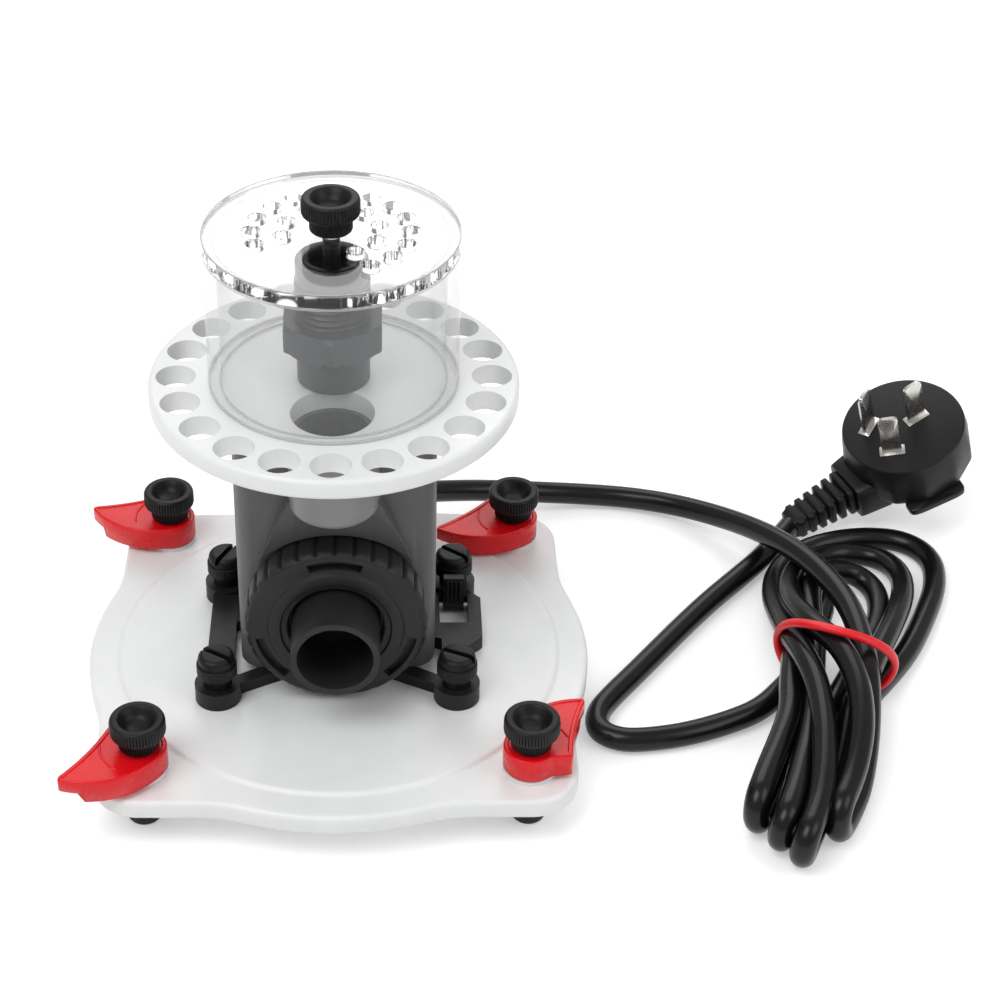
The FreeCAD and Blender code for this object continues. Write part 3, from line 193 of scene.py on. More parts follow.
# Painted shade and glint for the clear edges: a greyer, more solid copy of the wall's finish.
PAINTED_EDGE_SHADE_AND_GLINT = thin_clear("painted_edge_shade_and_glint", (0.62, 0.63, 0.63), 0.30)
STEEL = metal("plain_steel", (0.55, 0.55, 0.56), 0.34)
BRASS = metal("turned_brass", (0.75, 0.55, 0.25), 0.34)
NICKEL = metal("nickel_plate", (0.70, 0.68, 0.65), 0.24)

# Mesh building ---------------------------------------------------------------------------------------


def skin(name, rows, material, body, ends="capped", sharp=32.0):
    """A closed surface over rows of points, each row a ring. The first and last rings are closed by a
    fan to their middle, by one flat face where ends is "flat", or joined to each other where it is
    "looped"."""
    rows = np.asarray(rows, float)
    count, around = rows.shape[:2]
    index = np.arange(count * around).reshape(count, around)
    if ends == "looped":
        index = np.vstack([index, index[:1]])
    quads = np.stack([index[:-1], np.roll(index[:-1], -1, 1), np.roll(index[1:], -1, 1), index[1:]], -1)
    points = rows.reshape(-1, 3)
    faces = quads.reshape(-1, 4).tolist()
    if ends == "capped":
        points = np.vstack([points, rows[0].mean(0), rows[-1].mean(0)])
        first, last = len(points) - 2, len(points) - 1
        faces += [[first, b, a] for a, b in zip(index[0], np.roll(index[0], -1))]
        faces += [[last, a, b] for a, b in zip(index[-1], np.roll(index[-1], -1))]
    if ends == "flat":
        faces += [index[0][::-1].tolist(), index[-1].tolist()]
    mesh = bpy.data.meshes.new(name)
    mesh.from_pydata((points * MM).tolist(), [], faces)
    tidy = bmesh.new()
    tidy.from_mesh(mesh)
    bmesh.ops.remove_doubles(tidy, verts=tidy.verts, dist=1e-7)
    bmesh.ops.recalc_face_normals(tidy, faces=tidy.faces)
    tidy.to_mesh(mesh)
    tidy.free()
    return add_piece(name, mesh, material, body, sharp)


def add_piece(name, mesh, material, body, sharp=32.0):
    """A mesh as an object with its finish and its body. Edges bent past sharp stay crisp."""
    mesh.materials.clear()
    mesh.materials.append(material)
    mesh.shade_smooth()
    mesh.set_sharp_from_angle(angle=math.radians(sharp))
    piece = bpy.data.objects.new(name, mesh)
    bpy.context.scene.collection.objects.link(piece)
    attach(piece, body)
    return piece


def eased(corners, reach, steps=5, closed=False):
    """A line of corners with each corner replaced by a parabola that leaves it by up to reach."""
    corners = np.asarray(corners, float)
    reach = np.broadcast_to(np.asarray(reach, float), (len(corners),))
    before, after = np.roll(corners, 1, 0), np.roll(corners, -1, 0)
    run_in = np.linalg.norm(before - corners, axis=1)
    run_out = np.linalg.norm(after - corners, axis=1)
    back = np.minimum(reach, 0.48 * np.minimum(run_in, run_out))[:, None]
    start = corners + (before - corners) / np.maximum(run_in, 1e-9)[:, None] * back
    end = corners + (after - corners) / np.maximum(run_out, 1e-9)[:, None] * back
    t = np.linspace(0, 1, steps)[None, :, None]
    curve = (1 - t) ** 2 * start[:, None] + 2 * t * (1 - t) * corners[:, None] + t ** 2 * end[:, None]
    if closed:
        return curve.reshape(-1, corners.shape[1])
    inner = curve[1:-1].reshape(-1, corners.shape[1])
    return np.vstack([corners[:1], inner, corners[-1:]])


def turned(profile, around, wave=None):
    """Rows of a turned shape: each profile point (radius, height) carried once round the Z axis. wave
    is a table, rows by columns, that is added to the radius."""
    profile = np.asarray(profile, float)
    angle = np.arange(around) * TURN / around
    radius = profile[:, :1] + (0 if wave is None else wave)
    radius = np.broadcast_to(radius, (len(profile), around))
    height = np.broadcast_to(profile[:, 1:], radius.shape)
    return np.stack([radius * np.cos(angle), radius * np.sin(angle), height], -1)


def placed(rows, middle=(0.0, 0.0, 0.0), axis=(0.0, 0.0, 1.0), across=(1.0, 0.0, 0.0)):
    """Rows with their own Z laid along axis and their own X along across, moved to middle."""
    z = np.asarray(axis, float) / np.linalg.norm(axis)
    x = np.asarray(across, float)
    x = x - z * np.dot(x, z)
    x = x / np.linalg.norm(x)
    y = np.cross(z, x)
    return rows @ np.array([x, y, z]) + np.asarray(middle, float)


def heading(degrees):
    """The flat direction at an angle from X."""
    angle = math.radians(degrees)
    return (math.cos(angle), math.sin(angle), 0)


def squared(wave, power):
    """A sine or cosine pushed towards -1 and 1: the lower the power, the squarer what it draws."""
    return np.sign(wave) * np.abs(wave) ** power


def between(value, low, high, soft):
    """1 where value lies between low and high, falling to 0 over soft at both ends."""
    rise = np.clip((value - low) / soft + 0.5, 0, 1)
    fall = np.clip((high - value) / soft + 0.5, 0, 1)
    return rise * fall


def softened_copy(name, node, width, material, body, angle=28.0):
    """A CAD solid as one joined mesh, its flat faces whole and its edges rounded by width."""
    shape = bmesh.new()
    shape.from_mesh(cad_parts[node].data)
    bmesh.ops.remove_doubles(shape, verts=shape.verts, dist=2e-6)
    bmesh.ops.dissolve_limit(shape, angle_limit=math.radians(0.6), verts=shape.verts, edges=shape.edges)
    mesh = bpy.data.meshes.new(name)
    shape.to_mesh(mesh)
    shape.free()
    piece = add_piece(name, mesh, material, body, sharp=angle)
    rounding = piece.modifiers.new("rounded edges", "BEVEL")
    rounding.width = width * MM
    rounding.segments = 2
    rounding.limit_method = "ANGLE"
    rounding.angle_limit = math.radians(angle)
    rounding.harden_normals = True
    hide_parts(node)
    return piece


def finish_node(node, material):
    """Gives a CAD node that stays as it is its finish."""
    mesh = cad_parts[node].data
    if mesh.materials:
        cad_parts[node].material_slots[0].material = material
    else:
        mesh.materials.append(material)


# Camera ----------------------------------------------------------------------------------------------


def camera():
    """A long lens in front of the object and above it."""
    data = bpy.data.cameras.new("camera")
    data.lens = 78.56
    data.sensor_width = 36.0
    data.shift_x = 0.1064
    data.shift_y = 0.0389
    data.clip_end = 20.0
    eye = bpy.data.objects.new("camera", data)
    eye.location = (0.0152, -0.5179, 0.4412)
    aim = Vector((0.0167, 0.0, 0.0586)) - Vector(eye.location)
    eye.rotation_euler = aim.to_track_quat("-Z", "Y").to_euler()
    bpy.context.scene.collection.objects.link(eye)
    bpy.context.scene.camera = eye


# Mains lead ------------------------------------------------------------------------------------------

LEAD_RADIUS, LEAD_LENGTH = 3.7, 1.63
LEAD_EXIT = (15.17, 66.15, 25.01)
LEAD_ROUTE = [
    (22.0, 76.0, 21.5), (33.0, 85.0, 16.0), (48.0, 92.5, 11.0), (66.0, 97.8, 6.4),
    (84.0, 99.6, 4.2), (101.0, 97.4, 4.0), (116.0, 91.0, 5.2), (129.0, 79.0, 8.8),
    (139.0, 64.3, 13.8), (147.6, 48.8, 17.6), (154.0, 33.4, 19.6), (158.4, 17.5, 20.6),
    (159.6, 4.0, 20.8),
]
TAIL_ROUTE = [
    (128.6, -13.9, 3.8), (117.0, -20.2, 3.8), (105.0, -24.9, 3.8), (93.5, -27.3, 3.8),
    (84.5, -27.6, 3.8), (78.0, -23.2, 3.8), (78.6, -15.2, 3.8), (83.6, -7.4, 3.8),
    (91.0, 2.2, 3.8), (100.0, 14.4, 3.8), (109.8, 27.6, 3.8), (120.0, 40.6, 3.8),
    (130.5, 52.5, 3.8), (141.0, 64.2, 4.6), (152.0, 81.0, 4.8),
]
# The hank's turns, in its own frame: X across it, Y along it towards the rear, from the top at the
# tie round the front, back through the tie, round the rear, and so on down to the bottom layer
HANK_MIDDLE = (147.5, -10.0)
HANK_TURN = -24.0
HANK_TURNS = [
    # first fold in front, at the right: out along the floor and back over itself
    (11.2, 4.0, 20.2), (15.4, -7.6, 16.0), (18.7, -20.0, 10.5), (20.8, -34.0, 5.6), (20.6, -42.0, 3.8),
    (20.2, -48.3, 3.8), (19.8, -52.8, 3.8), (19.4, -55.6, 6.9), (19.0, -55.6, 11.2),
    (18.9, -52.8, 14.2), (19.1, -48.3, 14.7), (19.2, -43.0, 15.4), (18.9, -35.0, 17.2),
    (16.9, -23.0, 20.4), (11.7, -9.0, 23.2),
    # over the top and round the inner loop at the rear
    (2.7, 4.0, 24.3), (-8.4, 13.0, 22.4), (-17.0, 25.0, 17.8), (-22.4, 39.0, 13.2),
    (-23.4, 51.0, 11.2), (-22.6, 61.0, 8.0), (-19.0, 70.0, 5.6), (-12.0, 77.0, 4.6),
    (-1.0, 79.0, 4.4), (7.8, 71.5, 5.6), (11.9, 56.0, 8.6), (12.5, 38.0, 11.4), (12.0, 20.0, 12.8),
    (11.7, 6.0, 12.8),
    # second fold in front, the longest
    (11.0, -8.0, 11.1), (12.3, -21.0, 7.8), (12.9, -36.0, 4.0), (12.7, -52.0, 3.8),
    (12.7, -62.0, 3.8), (12.7, -67.0, 3.8), (12.9, -69.8, 6.9), (13.2, -69.8, 11.2),
    (13.5, -67.0, 14.2), (13.6, -62.0, 14.5),
    (13.2, -54.0, 15.2), (11.1, -42.0, 17.1), (6.4, -26.0, 19.2), (-0.4, -10.0, 20.1),
    # widest loop at the rear
    (-8.5, 3.0, 19.4), (-15.4, 14.0, 15.6), (-21.4, 27.0, 11.0), (-27.4, 41.0, 7.0),
    (-30.2, 56.0, 4.4), (-27.8, 69.0, 3.9), (-21.0, 79.5, 3.8), (-9.5, 88.5, 3.8),
    (4.2, 92.5, 3.8), (15.1, 86.0, 3.8), (19.5, 72.0, 3.8), (19.9, 54.0, 3.8), (19.1, 34.0, 4.0),
    (15.9, 18.0, 4.5), (12.1, 4.0, 4.5),
    # third fold in front
    (8.4, -9.0, 3.9), (6.1, -20.0, 3.8), (5.5, -37.0, 3.8), (5.4, -51.0, 3.8),
    (5.4, -58.2, 3.8), (5.4, -63.2, 3.8), (5.5, -66.0, 6.9), (5.7, -66.0, 11.2),
    (5.9, -63.2, 14.2), (5.8, -58.2, 14.4), (5.3, -51.0, 14.1),
    (4.0, -40.0, 13.0), (2.6, -26.0, 12.2), (0.2, -11.0, 12.1),
    # inner loop at the rear
    (-4.2, 3.0, 12.2), (-7.4, 18.0, 11.5), (-12.7, 32.0, 11.6), (-16.4, 45.0, 11.8),
    (-14.6, 57.0, 10.4), (-7.4, 65.0, 6.2), (0.8, 63.0, 4.0), (5.7, 53.0, 3.8),
    (7.0, 40.0, 3.8), (5.7, 24.0, 3.8), (4.7, 9.0, 3.9),
    # last fold in front, at the left
    (3.4, -4.0, 3.8), (-1.0, -15.0, 3.8), (-2.3, -30.0, 3.8), (-2.5, -46.0, 3.8),
    (-2.5, -53.8, 3.8), (-2.5, -58.8, 3.8), (-2.8, -61.6, 6.9), (-3.2, -61.6, 11.2),
    (-3.5, -58.8, 14.2), (-3.7, -53.8, 14.5), (-4.0, -46.0, 14.5),
    (-4.3, -34.0, 13.6), (-5.1, -19.0, 12.8), (-8.6, -6.0, 12.4),
    # small loop at the left rear, and out at the tie's left side
    (-11.0, 5.0, 12.4), (-13.6, 15.0, 9.6), (-17.4, 26.0, 5.4), (-20.2, 35.0, 3.8),
    (-22.2, 41.0, 3.8), (-21.9, 46.6, 3.8), (-18.8, 50.3, 3.8), (-14.6, 50.3, 3.8),
    (-11.3, 46.6, 3.8), (-10.8, 41.0, 3.8), (-10.4, 34.0, 3.8), (-9.8, 24.0, 3.8),
    (-9.8, 13.0, 3.9), (-11.8, 2.0, 4.0),
]


def hank_to_world(points):
    """Points in the hank's own frame, turned and moved to where it lies."""
    points = np.asarray(points, float)
    angle = math.radians(HANK_TURN)
    x = HANK_MIDDLE[0] + points[:, 0] * math.cos(angle) - points[:, 1] * math.sin(angle)
    y = HANK_MIDDLE[1] + points[:, 0] * math.sin(angle) + points[:, 1] * math.cos(angle)
    return np.stack([x, y, points[:, 2]], 1)


def lead():
    """The whole lead as one smooth line: out of the pump, into the hank, round its turns and out to
    the plug."""
    route = np.vstack([[LEAD_EXIT], LEAD_ROUTE, hank_to_world(HANK_TURNS), TAIL_ROUTE])
    curve = bpy.data.curves.new("mains_lead", "CURVE")
    curve.dimensions = "3D"
    spline = curve.splines.new("NURBS")
    spline.points.add(len(route) - 1)
    weights = np.ones((len(route), 1))
    spline.points.foreach_set("co", np.hstack([route * MM, weights]).ravel())
    spline.order_u = 3
    spline.use_endpoint_u = True
    spline.resolution_u = 10
    curve.bevel_depth = LEAD_RADIUS * MM
    curve.bevel_resolution = 8
    curve.use_fill_caps = True
    curve.materials.append(SHEATH)
    piece = bpy.data.objects.new("mains_lead", curve)
    bpy.context.scene.collection.objects.link(piece)
    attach(piece, "base")
    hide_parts("cord_lead", "cord_hank", "cord_tail")
    return piece


def tie():
    """A slack band round the hank's waist: an ellipse that leans towards the rear at its sides, as
    angle t runs round it, with a flat rounded section."""
    around, across = 160, 20
    t = np.arange(around) * TURN / around
    loop = np.stack([18.4 * np.cos(t) + 0.3, 8.4 + 3.0 * np.cos(2 * t) - 1.6 * np.sin(t),
                     15.1 + 14.2 * np.sin(t)], 1)
    outward = np.stack([13.2 * np.cos(t), 0 * t, 17.4 * np.sin(t)], 1)
    outward /= np.linalg.norm(outward, axis=1)[:, None]
    along = np.roll(loop, -1, 0) - np.roll(loop, 1, 0)
    across_way = np.cross(along, outward)
    across_way /= np.linalg.norm(across_way, axis=1)[:, None]
    s = np.arange(across) * TURN / across
    thick = squared(np.cos(s), 0.8) * 1.15
    wide = squared(np.sin(s), 0.7) * 1.5
    rows = (loop[:, None] + outward[:, None] * thick[None, :, None]
            + across_way[:, None] * wide[None, :, None])
    rows = hank_to_world(rows.reshape(-1, 3)).reshape(around, across, 3)
    piece = skin("hank_tie", rows, TIE_RED, "base", ends="looped", sharp=60)
    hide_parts("cord_tie")
    return piece


# Plug ------------------------------------------------------------------------------------------------

PLUG_PLACE = np.array([194.6, 100.1, 14.1])
PLUG_TURN, PLUG_TILT, PLUG_LEAN = math.radians(26.4), math.radians(15.7), math.radians(-15.8)
PIN_PLACES = [(-8.95, 6.85, 30.0), (-8.95, -6.85, 150.0), (5.3, 0.0, 0.0)]
PLUG_FACE = 24.0
LIP_REACH, LIP_ANGLE, LIP_DEPTH, LIP_HALF_WIDTH = 20.0, -98.0, 3.4, 10.0
RIBS, RIB_PITCH, RIB_WIDTH = 6, 3.75, 2.0


def plug_axes():
    """The plug's own X and Z in the row frame: turned about Z, leaned about Y, tilted about X."""
    x = np.array([math.cos(PLUG_TURN), math.sin(PLUG_TURN), 0.0])
    tilt = np.array([
        [1, 0, 0],
        [0, math.cos(PLUG_TILT), -math.sin(PLUG_TILT)],
        [0, math.sin(PLUG_TILT), math.cos(PLUG_TILT)],
    ])
    lean = np.array([
        [math.cos(PLUG_LEAN), 0, math.sin(PLUG_LEAN)],
        [0, 1, 0],
        [-math.sin(PLUG_LEAN), 0, math.cos(PLUG_LEAN)],
    ])
    return tilt @ lean @ x, tilt @ lean @ np.array([0.0, 0.0, 1.0])


def on_plug(rows):
    """Rows in the plug's own frame, laid where the plug lies."""
    x, z = plug_axes()
    return placed(rows, PLUG_PLACE, z, x)


def plug_body():
    """The round body: a profile from its back to its face, cut by flats round the side."""
    profile = eased([(0.0, 0.0), (14.5, 0.0), (16.5, 2.0), (21.6, 8.6), (21.6, 15.0), (20.2, 24.0),
                     (0.0, 24.0)], [0, 1.2, 0.8, 0.8, 0.8, 0.9, 0], 4)
    around = 240
    angle = np.arange(around) * TURN / around
    facets = 12
    part = TURN / facets
    swing = np.mod(angle + part / 2, part) - part / 2
    flat = np.minimum(1.0, 0.972 / np.cos(swing))
    share = between(profile[:, 1], -5, 17.5, 4.0)[:, None]
    wave = profile[:, :1] * (flat[None] - 1) * share
    body = skin("plug_shell", on_plug(turned(profile, around, wave)), PLUG_BLACK, "base",
                sharp=20)
    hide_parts("plug_body")
    return body


def plug_lip():
    """The finger lip low on the near side of the plug."""
    s = np.arange(48) * TURN / 48
    outline = np.stack([squared(np.cos(s), 0.5) * LIP_DEPTH, squared(np.sin(s), 0.35) * LIP_HALF_WIDTH], 1)
    levels = eased([(0.9, 5.6), (1.0, 5.9), (1.0, 8.0), (0.9, 8.3)], 0.2, 4)
    rows = np.stack([np.concatenate([outline * level[0], np.full((48, 1), level[1])], 1)
                     for level in levels])
    out = placed(rows + np.array([LIP_REACH, 0.0, 0.0]), across=heading(LIP_ANGLE))
    return skin("plug_lip", on_plug(out), PLUG_BLACK, "base")


def plug_relief():
    """The ribbed sleeve: squarish sections that step between thick ribs and a thin core."""
    steps = [(-14.0, 10.6, 7.6), (-22.0, 9.4, 7.2), (-24.6, 8.9, 7.0), (-24.9, 4.6, 4.4)]
    for i in range(RIBS):
        start = -25.0 - RIB_PITCH * i
        wide, high = 6.6 - 0.3 * i, 6.0 - 0.33 * i
        steps += [
            (start + 1.2, 4.1, 4.0), (start, 4.1, 4.0),
            (start - 0.05, wide, high), (start - RIB_WIDTH, wide, high),
        ]
    steps += [(-46.0, 4.4, 4.3), (-48.0, 3.7, 3.7)]
    table = eased(steps, 0.35, 3)
    s = np.arange(48) * TURN / 48
    cos, sin = squared(np.cos(s), 0.32), squared(np.sin(s), 0.32)
    rows = np.stack([np.stack([np.full(48, x), wide * cos, 8.0 + high * sin], 1) for x, wide, high in table])
    return skin("plug_relief", on_plug(rows), PLUG_BLACK, "base", sharp=40)


def plug_pins():
    """Three flat blades with rounded tips, each standing in a small metal seat."""
    pieces = []
    for number, (x, y, turn) in enumerate(PIN_PLACES, start=1):
        blade = eased([(-3.2, -4.0), (3.2, -4.0), (3.2, 17.2), (-3.2, 17.2)], [0.1, 0.1, 1.8, 1.8], 6, True)
        seat = eased([(-4.2, -1.5), (4.2, -1.5), (4.2, 0.35), (-4.2, 0.35)], 0.2, 3, True)
        for label, outline, half in (("pin", blade, 0.775), ("pin_seat", seat, 2.0)):
            rows = []
            for inset, side in ((0.25, -half), (0.0, -half + 0.25), (0.0, half - 0.25), (0.25, half)):
                ring = outline * (1 - inset / 6.0)
                rows.append(np.stack([ring[:, 0], np.full(len(ring), side), ring[:, 1] + PLUG_FACE], 1))
            rows = placed(np.stack(rows), (x, y, 0), across=heading(turn))
            name = "%s_%d" % (label, number)
            pieces.append(skin(name, on_plug(rows), NICKEL, "base", sharp=40))
    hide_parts("plug_pins")
    return pieces


RELIEF_START = np.array([2.0, 47.0, 31.0])
RELIEF_RUN = np.array([0.55, 0.80, -0.25])


def pump_relief():
    """The tapered sleeve at the motor: a cone with shallow rings cut round it."""
    reach = np.linspace(0.4, 24.0, 90)
    radius = 6.2 - 1.9 * reach / 24.0
    radius -= 0.55 * between(np.mod(reach - 7.0, 3.2), 0.0, 1.1, 0.35) * (reach > 7.0) * (reach < 22.5)
    profile = np.vstack([[0.0, reach[0]], np.stack([radius, reach], 1), [0.0, reach[-1]]])
    rows = placed(turned(profile, 48), RELIEF_START, RELIEF_RUN)
    rows[..., 1] = np.maximum(rows[..., 1], 48.0)
    piece = skin("lead_sleeve", rows, SHEATH, "base", sharp=50)
    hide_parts("strain_relief")
    return piece


def cord_and_plug():
    """The lead with the pieces that move with it: the tie, the plug and the sleeve at the motor."""
    cord = lead()
    band = tie()
    pieces = [plug_body(), plug_lip(), plug_relief()] + plug_pins()
    sleeve = pump_relief()


# Base plate and feet ---------------------------------------------------------------------------------

BASE_RADIUS, EAR_RADIUS, BASE_BLEND = 76.0, 14.0, 1.4


def base_outline(angle):
    """The plate's radius at an angle: the larger of the disc's and of a rounded square's whose corners
    are the ears, the two blended where they meet. The square is its side out to where the ear's arc
    starts, then the far side of the ear's circle."""
    fold = np.abs(np.mod(angle + TURN / 8, TURN / 4) - TURN / 8)
    off = TURN / 8 - fold
    reach = KNOB_PITCH * math.sqrt(2)
    ear_start = math.atan2(KNOB_PITCH, KNOB_PITCH + EAR_RADIUS)
    half_chord = np.sqrt(np.maximum(EAR_RADIUS ** 2 - (reach * np.sin(off)) ** 2, 0))
    side = (KNOB_PITCH + EAR_RADIUS) / np.cos(fold)
    square = np.where(fold > ear_start, reach * np.cos(off) + half_chord, side)
    return np.logaddexp(BASE_RADIUS / BASE_BLEND, square / BASE_BLEND) * BASE_BLEND


def base_plate():
    """Rings from the underside's middle, round the rounded rim, over the step of the raised disc."""
    around = 720
    angle = np.arange(around) * TURN / around
    edge = base_outline(angle)
    rows = [np.full(around, radius) for radius in (0.0, 30.0, 60.0)]
    heights = [BASE_BOTTOM] * 3
    rim = eased([(6.0, BASE_BOTTOM), (0.0, BASE_BOTTOM), (0.0, BASE_TOP), (6.0, BASE_TOP)],
                [0, 0.7, 1.7, 0], 8)
    for inset, height in rim:
        rows.append(edge - inset)
        heights.append(height)
    step = eased([(68.6, BASE_TOP), (67.3, BASE_TOP), (66.3, PLATEAU_TOP), (64.5, PLATEAU_TOP)], 0.6, 6)
    for radius, height in list(step) + [(40.0, PLATEAU_TOP), (0.0, PLATEAU_TOP)]:
        rows.append(np.full(around, radius))
        heights.append(height)
    radius = np.stack(rows)
    height = np.broadcast_to(np.array(heights)[:, None], radius.shape)
    points = np.stack([radius * np.cos(angle), radius * np.sin(angle), height], -1)
    piece = skin("moulded_base", points, MILKY, "base", sharp=50)
    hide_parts("base_plate")
    for label, (sx, sy) in CORNERS.items():
        boss = eased([(0.0, 17.6), (7.6, 17.6), (7.6, 19.3), (0.0, 19.3)], [0, 0.2, 0.3, 0], 4)
        skin("ear_boss_" + label, placed(turned(boss, 64), (sx * KNOB_PITCH, sy * KNOB_PITCH, 0)), MILKY,
             "base")


def feet():
    """Rubber feet: a tapering cone with a rounded sole and a thin flange under the plate."""
    profile = eased([(0.0, 0.0), (4.7, 0.0), (7.4, 10.6), (8.4, 10.9), (8.4, 12.0), (0.0, 12.0)],
                    [0, 1.6, 0.3, 0.3, 0.2, 0], 6)
    made = [
        skin("foot_" + label, placed(turned(profile, 72), (sx * KNOB_PITCH, sy * KNOB_PITCH, 0)), RUBBER,
             "base")
        for label, (sx, sy) in CORNERS.items()
    ]
    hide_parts("rubber_feet")


# Cams and thumbscrews --------------------------------------------------------------------------------

CAM_TIP_ANGLES = {"front_left": 213.5, "front_right": 51.0, "rear_left": 170.0, "rear_right": 196.0}
CAM_BOTTOM, CAM_TOP = 19.5, 27.2
HUB, REACH, FIN = 7.9, 26.0, 24.0


def cam_corners():
    """The cam's outline: an arc tangent to the hub out to the tip, back along a hollow to the heel,
    then round the hub."""
    spread_out = FIN - HUB
    lean = math.acos((spread_out ** 2 + REACH ** 2 - FIN ** 2) / (2 * spread_out * REACH))
    centre = spread_out * np.array([math.cos(lean), -math.sin(lean)])
    start = math.atan2(math.sin(lean), -math.cos(lean))
    end = math.atan2(-centre[1], REACH - centre[0])
    sweep = np.linspace(start, end, 60)
    crown = centre + FIN * np.stack([np.cos(sweep), np.sin(sweep)], 1)
    tip = np.array([[REACH - 0.3, -0.4], [REACH - 0.9, -1.2]])
    heel_angle = math.radians(-73.0)
    heel = 12.6 * np.array([math.cos(heel_angle), math.sin(heel_angle)])
    t = np.linspace(0, 1, 26)[1:, None]
    dip = (tip[-1] + heel) / 2 + np.array([-1.2, 1.8])
    hollow = (1 - t) ** 2 * tip[-1] + 2 * t * (1 - t) * dip + t ** 2 * heel
    around = np.radians(np.linspace(-95.0, math.degrees(start) - 360.0, 50))
    hub = HUB * np.stack([np.cos(around), np.sin(around)], 1)
    return np.vstack([crown, tip, hollow, hub[:-1]])


def inset_ring(outline, distance):
    """The outline moved inwards along its own normals, by less where it turns sharply, so that the
    moved line never crosses itself."""
    along = np.roll(outline, -1, 0) - np.roll(outline, 1, 0)
    step = np.linalg.norm(along, axis=1) / 2
    along /= 2 * step[:, None]
    bend = np.cross(along, np.roll(along, -1, 0)) / step
    limit = 0.8 / np.maximum(bend, 1e-3)
    for reach in range(1, 12):
        near = np.minimum(np.roll(limit, reach), np.roll(limit, -reach)) + reach * 0.12
        limit = np.minimum(limit, near)
    for _ in range(6):
        limit = (np.roll(limit, 1) + 2 * limit + np.roll(limit, -1)) / 4
    normal = np.stack([-along[:, 1], along[:, 0]], 1)
    return outline + normal * np.minimum(distance, limit)[:, None]


def even_outline(outline, count):
    """The same closed outline with its points spaced evenly."""
    closed = np.vstack([outline, outline[:1]])
    along = np.concatenate([[0], np.cumsum(np.linalg.norm(np.diff(closed, axis=0), axis=1))])
    at = np.linspace(0, along[-1], count + 1)[:-1]
    return np.stack([np.interp(at, along, closed[:, 0]), np.interp(at, along, closed[:, 1])], 1)


def shoelace(outline):
    """The outline's area, above 0 where it runs anticlockwise."""
    x, y = outline.T
    return float(np.sum(x * np.roll(y, -1) - np.roll(x, -1) * y)) / 2


def smoothed(outline, rounds):
    """The closed outline with each point drawn towards its neighbours."""
    for _ in range(rounds):
        outline = (np.roll(outline, 1, 0) + 2 * outline + np.roll(outline, -1, 0)) / 4
    return outline


def cam(label, sx, sy):
    """A latch: walls up from a raised thin tip, a rounded edge, a rim line and a sunk top."""
    outline = smoothed(even_outline(cam_corners(), 260), 6)
    outline = outline[::-1] if shoelace(outline) < 0 else outline
    lift = np.clip((outline[:, 0] - 20.6) / 0.8, 0, 1) * 3.1
    rows = []
    for inset, height in ((0.5, CAM_BOTTOM), (0.0, CAM_BOTTOM + 0.5)):
        ring = inset_ring(outline, inset)
        rows.append(np.column_stack([ring, height + lift]))
    top = eased([(0.0, CAM_TOP - 1.6), (0.0, CAM_TOP), (1.3, CAM_TOP), (1.45, CAM_TOP - 0.35),
                 (1.8, CAM_TOP - 0.35)], [0, 0.7, 0.2, 0.15, 0], 5)
    for inset, height in top:
        rows.append(np.column_stack([inset_ring(outline, inset), np.full(len(outline), height)]))
    place = (sx * KNOB_PITCH, sy * KNOB_PITCH, 0)
    rows = placed(np.stack(rows), place, across=heading(CAM_TIP_ANGLES[label]))
    piece = skin("latch_" + label, rows, LATCH_RED, "cam_" + label, ends="flat", sharp=48)
    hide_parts("cam_" + label)
    arc = np.radians(np.linspace(-38, 30, 30))
    path = np.stack([11.2 * np.cos(arc), 11.2 * np.sin(arc), np.full(30, CAM_TOP - 0.42)], 1)
    mark = placed(raised_line(path, 0.42), place, across=heading(CAM_TIP_ANGLES[label]))
    skin("latch_mark_" + label, mark, LATCH_RED, "cam_" + label)


def raised_line(path, radius):
    """Rows of a thin round bead along a flat path, half sunk in the face under it, with pointed ends."""
    along = np.gradient(path, axis=0)
    along /= np.linalg.norm(along, axis=1)[:, None]
    side = np.cross(along, (0, 0, 1))
    s = np.arange(10) * TURN / 10
    size = radius * np.clip(np.minimum(np.arange(len(path)), np.arange(len(path))[::-1]) / 3.0, 0.05, 1)
    return (path[:, None] + side[:, None] * np.cos(s)[None, :, None] * size[:, None, None]
            + np.array([0, 0, 1.0])[None, None] * np.sin(s)[None, :, None] * size[:, None, None])


def knurled(profile, around, ribs, depth, bands):
    """A turned shape with vertical ribs in the given height bands."""
    angle = np.arange(around) * TURN / around
    ridge = np.abs(np.sin(angle * ribs / 2)) ** 0.8
    mask = sum(between(profile[:, 1], low, high, 0.5) for low, high in bands)[:, None]
    outer = (profile[:, :1] > 5.6).astype(float)
    return turned(profile, around, -depth * (1 - ridge[None]) * mask * outer)


KNOB_BOTTOM = 27.4
KNOB_CORNERS = [
    (0.0, 0.0), (5.4, 0.0), (5.9, 0.5), (5.9, 4.3), (6.6, 4.5), (7.6, 4.8), (8.0, 5.4), (8.0, 9.0),
    (7.5, 9.8), (5.6, 9.8), (4.9, 9.0), (3.4, 6.9), (0.0, 6.2),
]


def knob_profile(bottom):
    """The knob's eased profile, cut into steps of under half a millimetre."""
    line = eased(KNOB_CORNERS, [0, 0.3, 0.4, 0.3, 0.3, 0.4, 0.5, 0.6, 0.7, 0.6, 1.4, 2.2, 0], 6)
    fine = []
    for a, b in zip(line, line[1:]):
        pieces = max(1, int(np.linalg.norm(b - a) / 0.45))
        fine.append(a + (b - a) * np.linspace(0, 1, pieces, endpoint=False)[:, None])
    return np.vstack(fine + [line[-1:]]) + np.array([0.0, bottom])


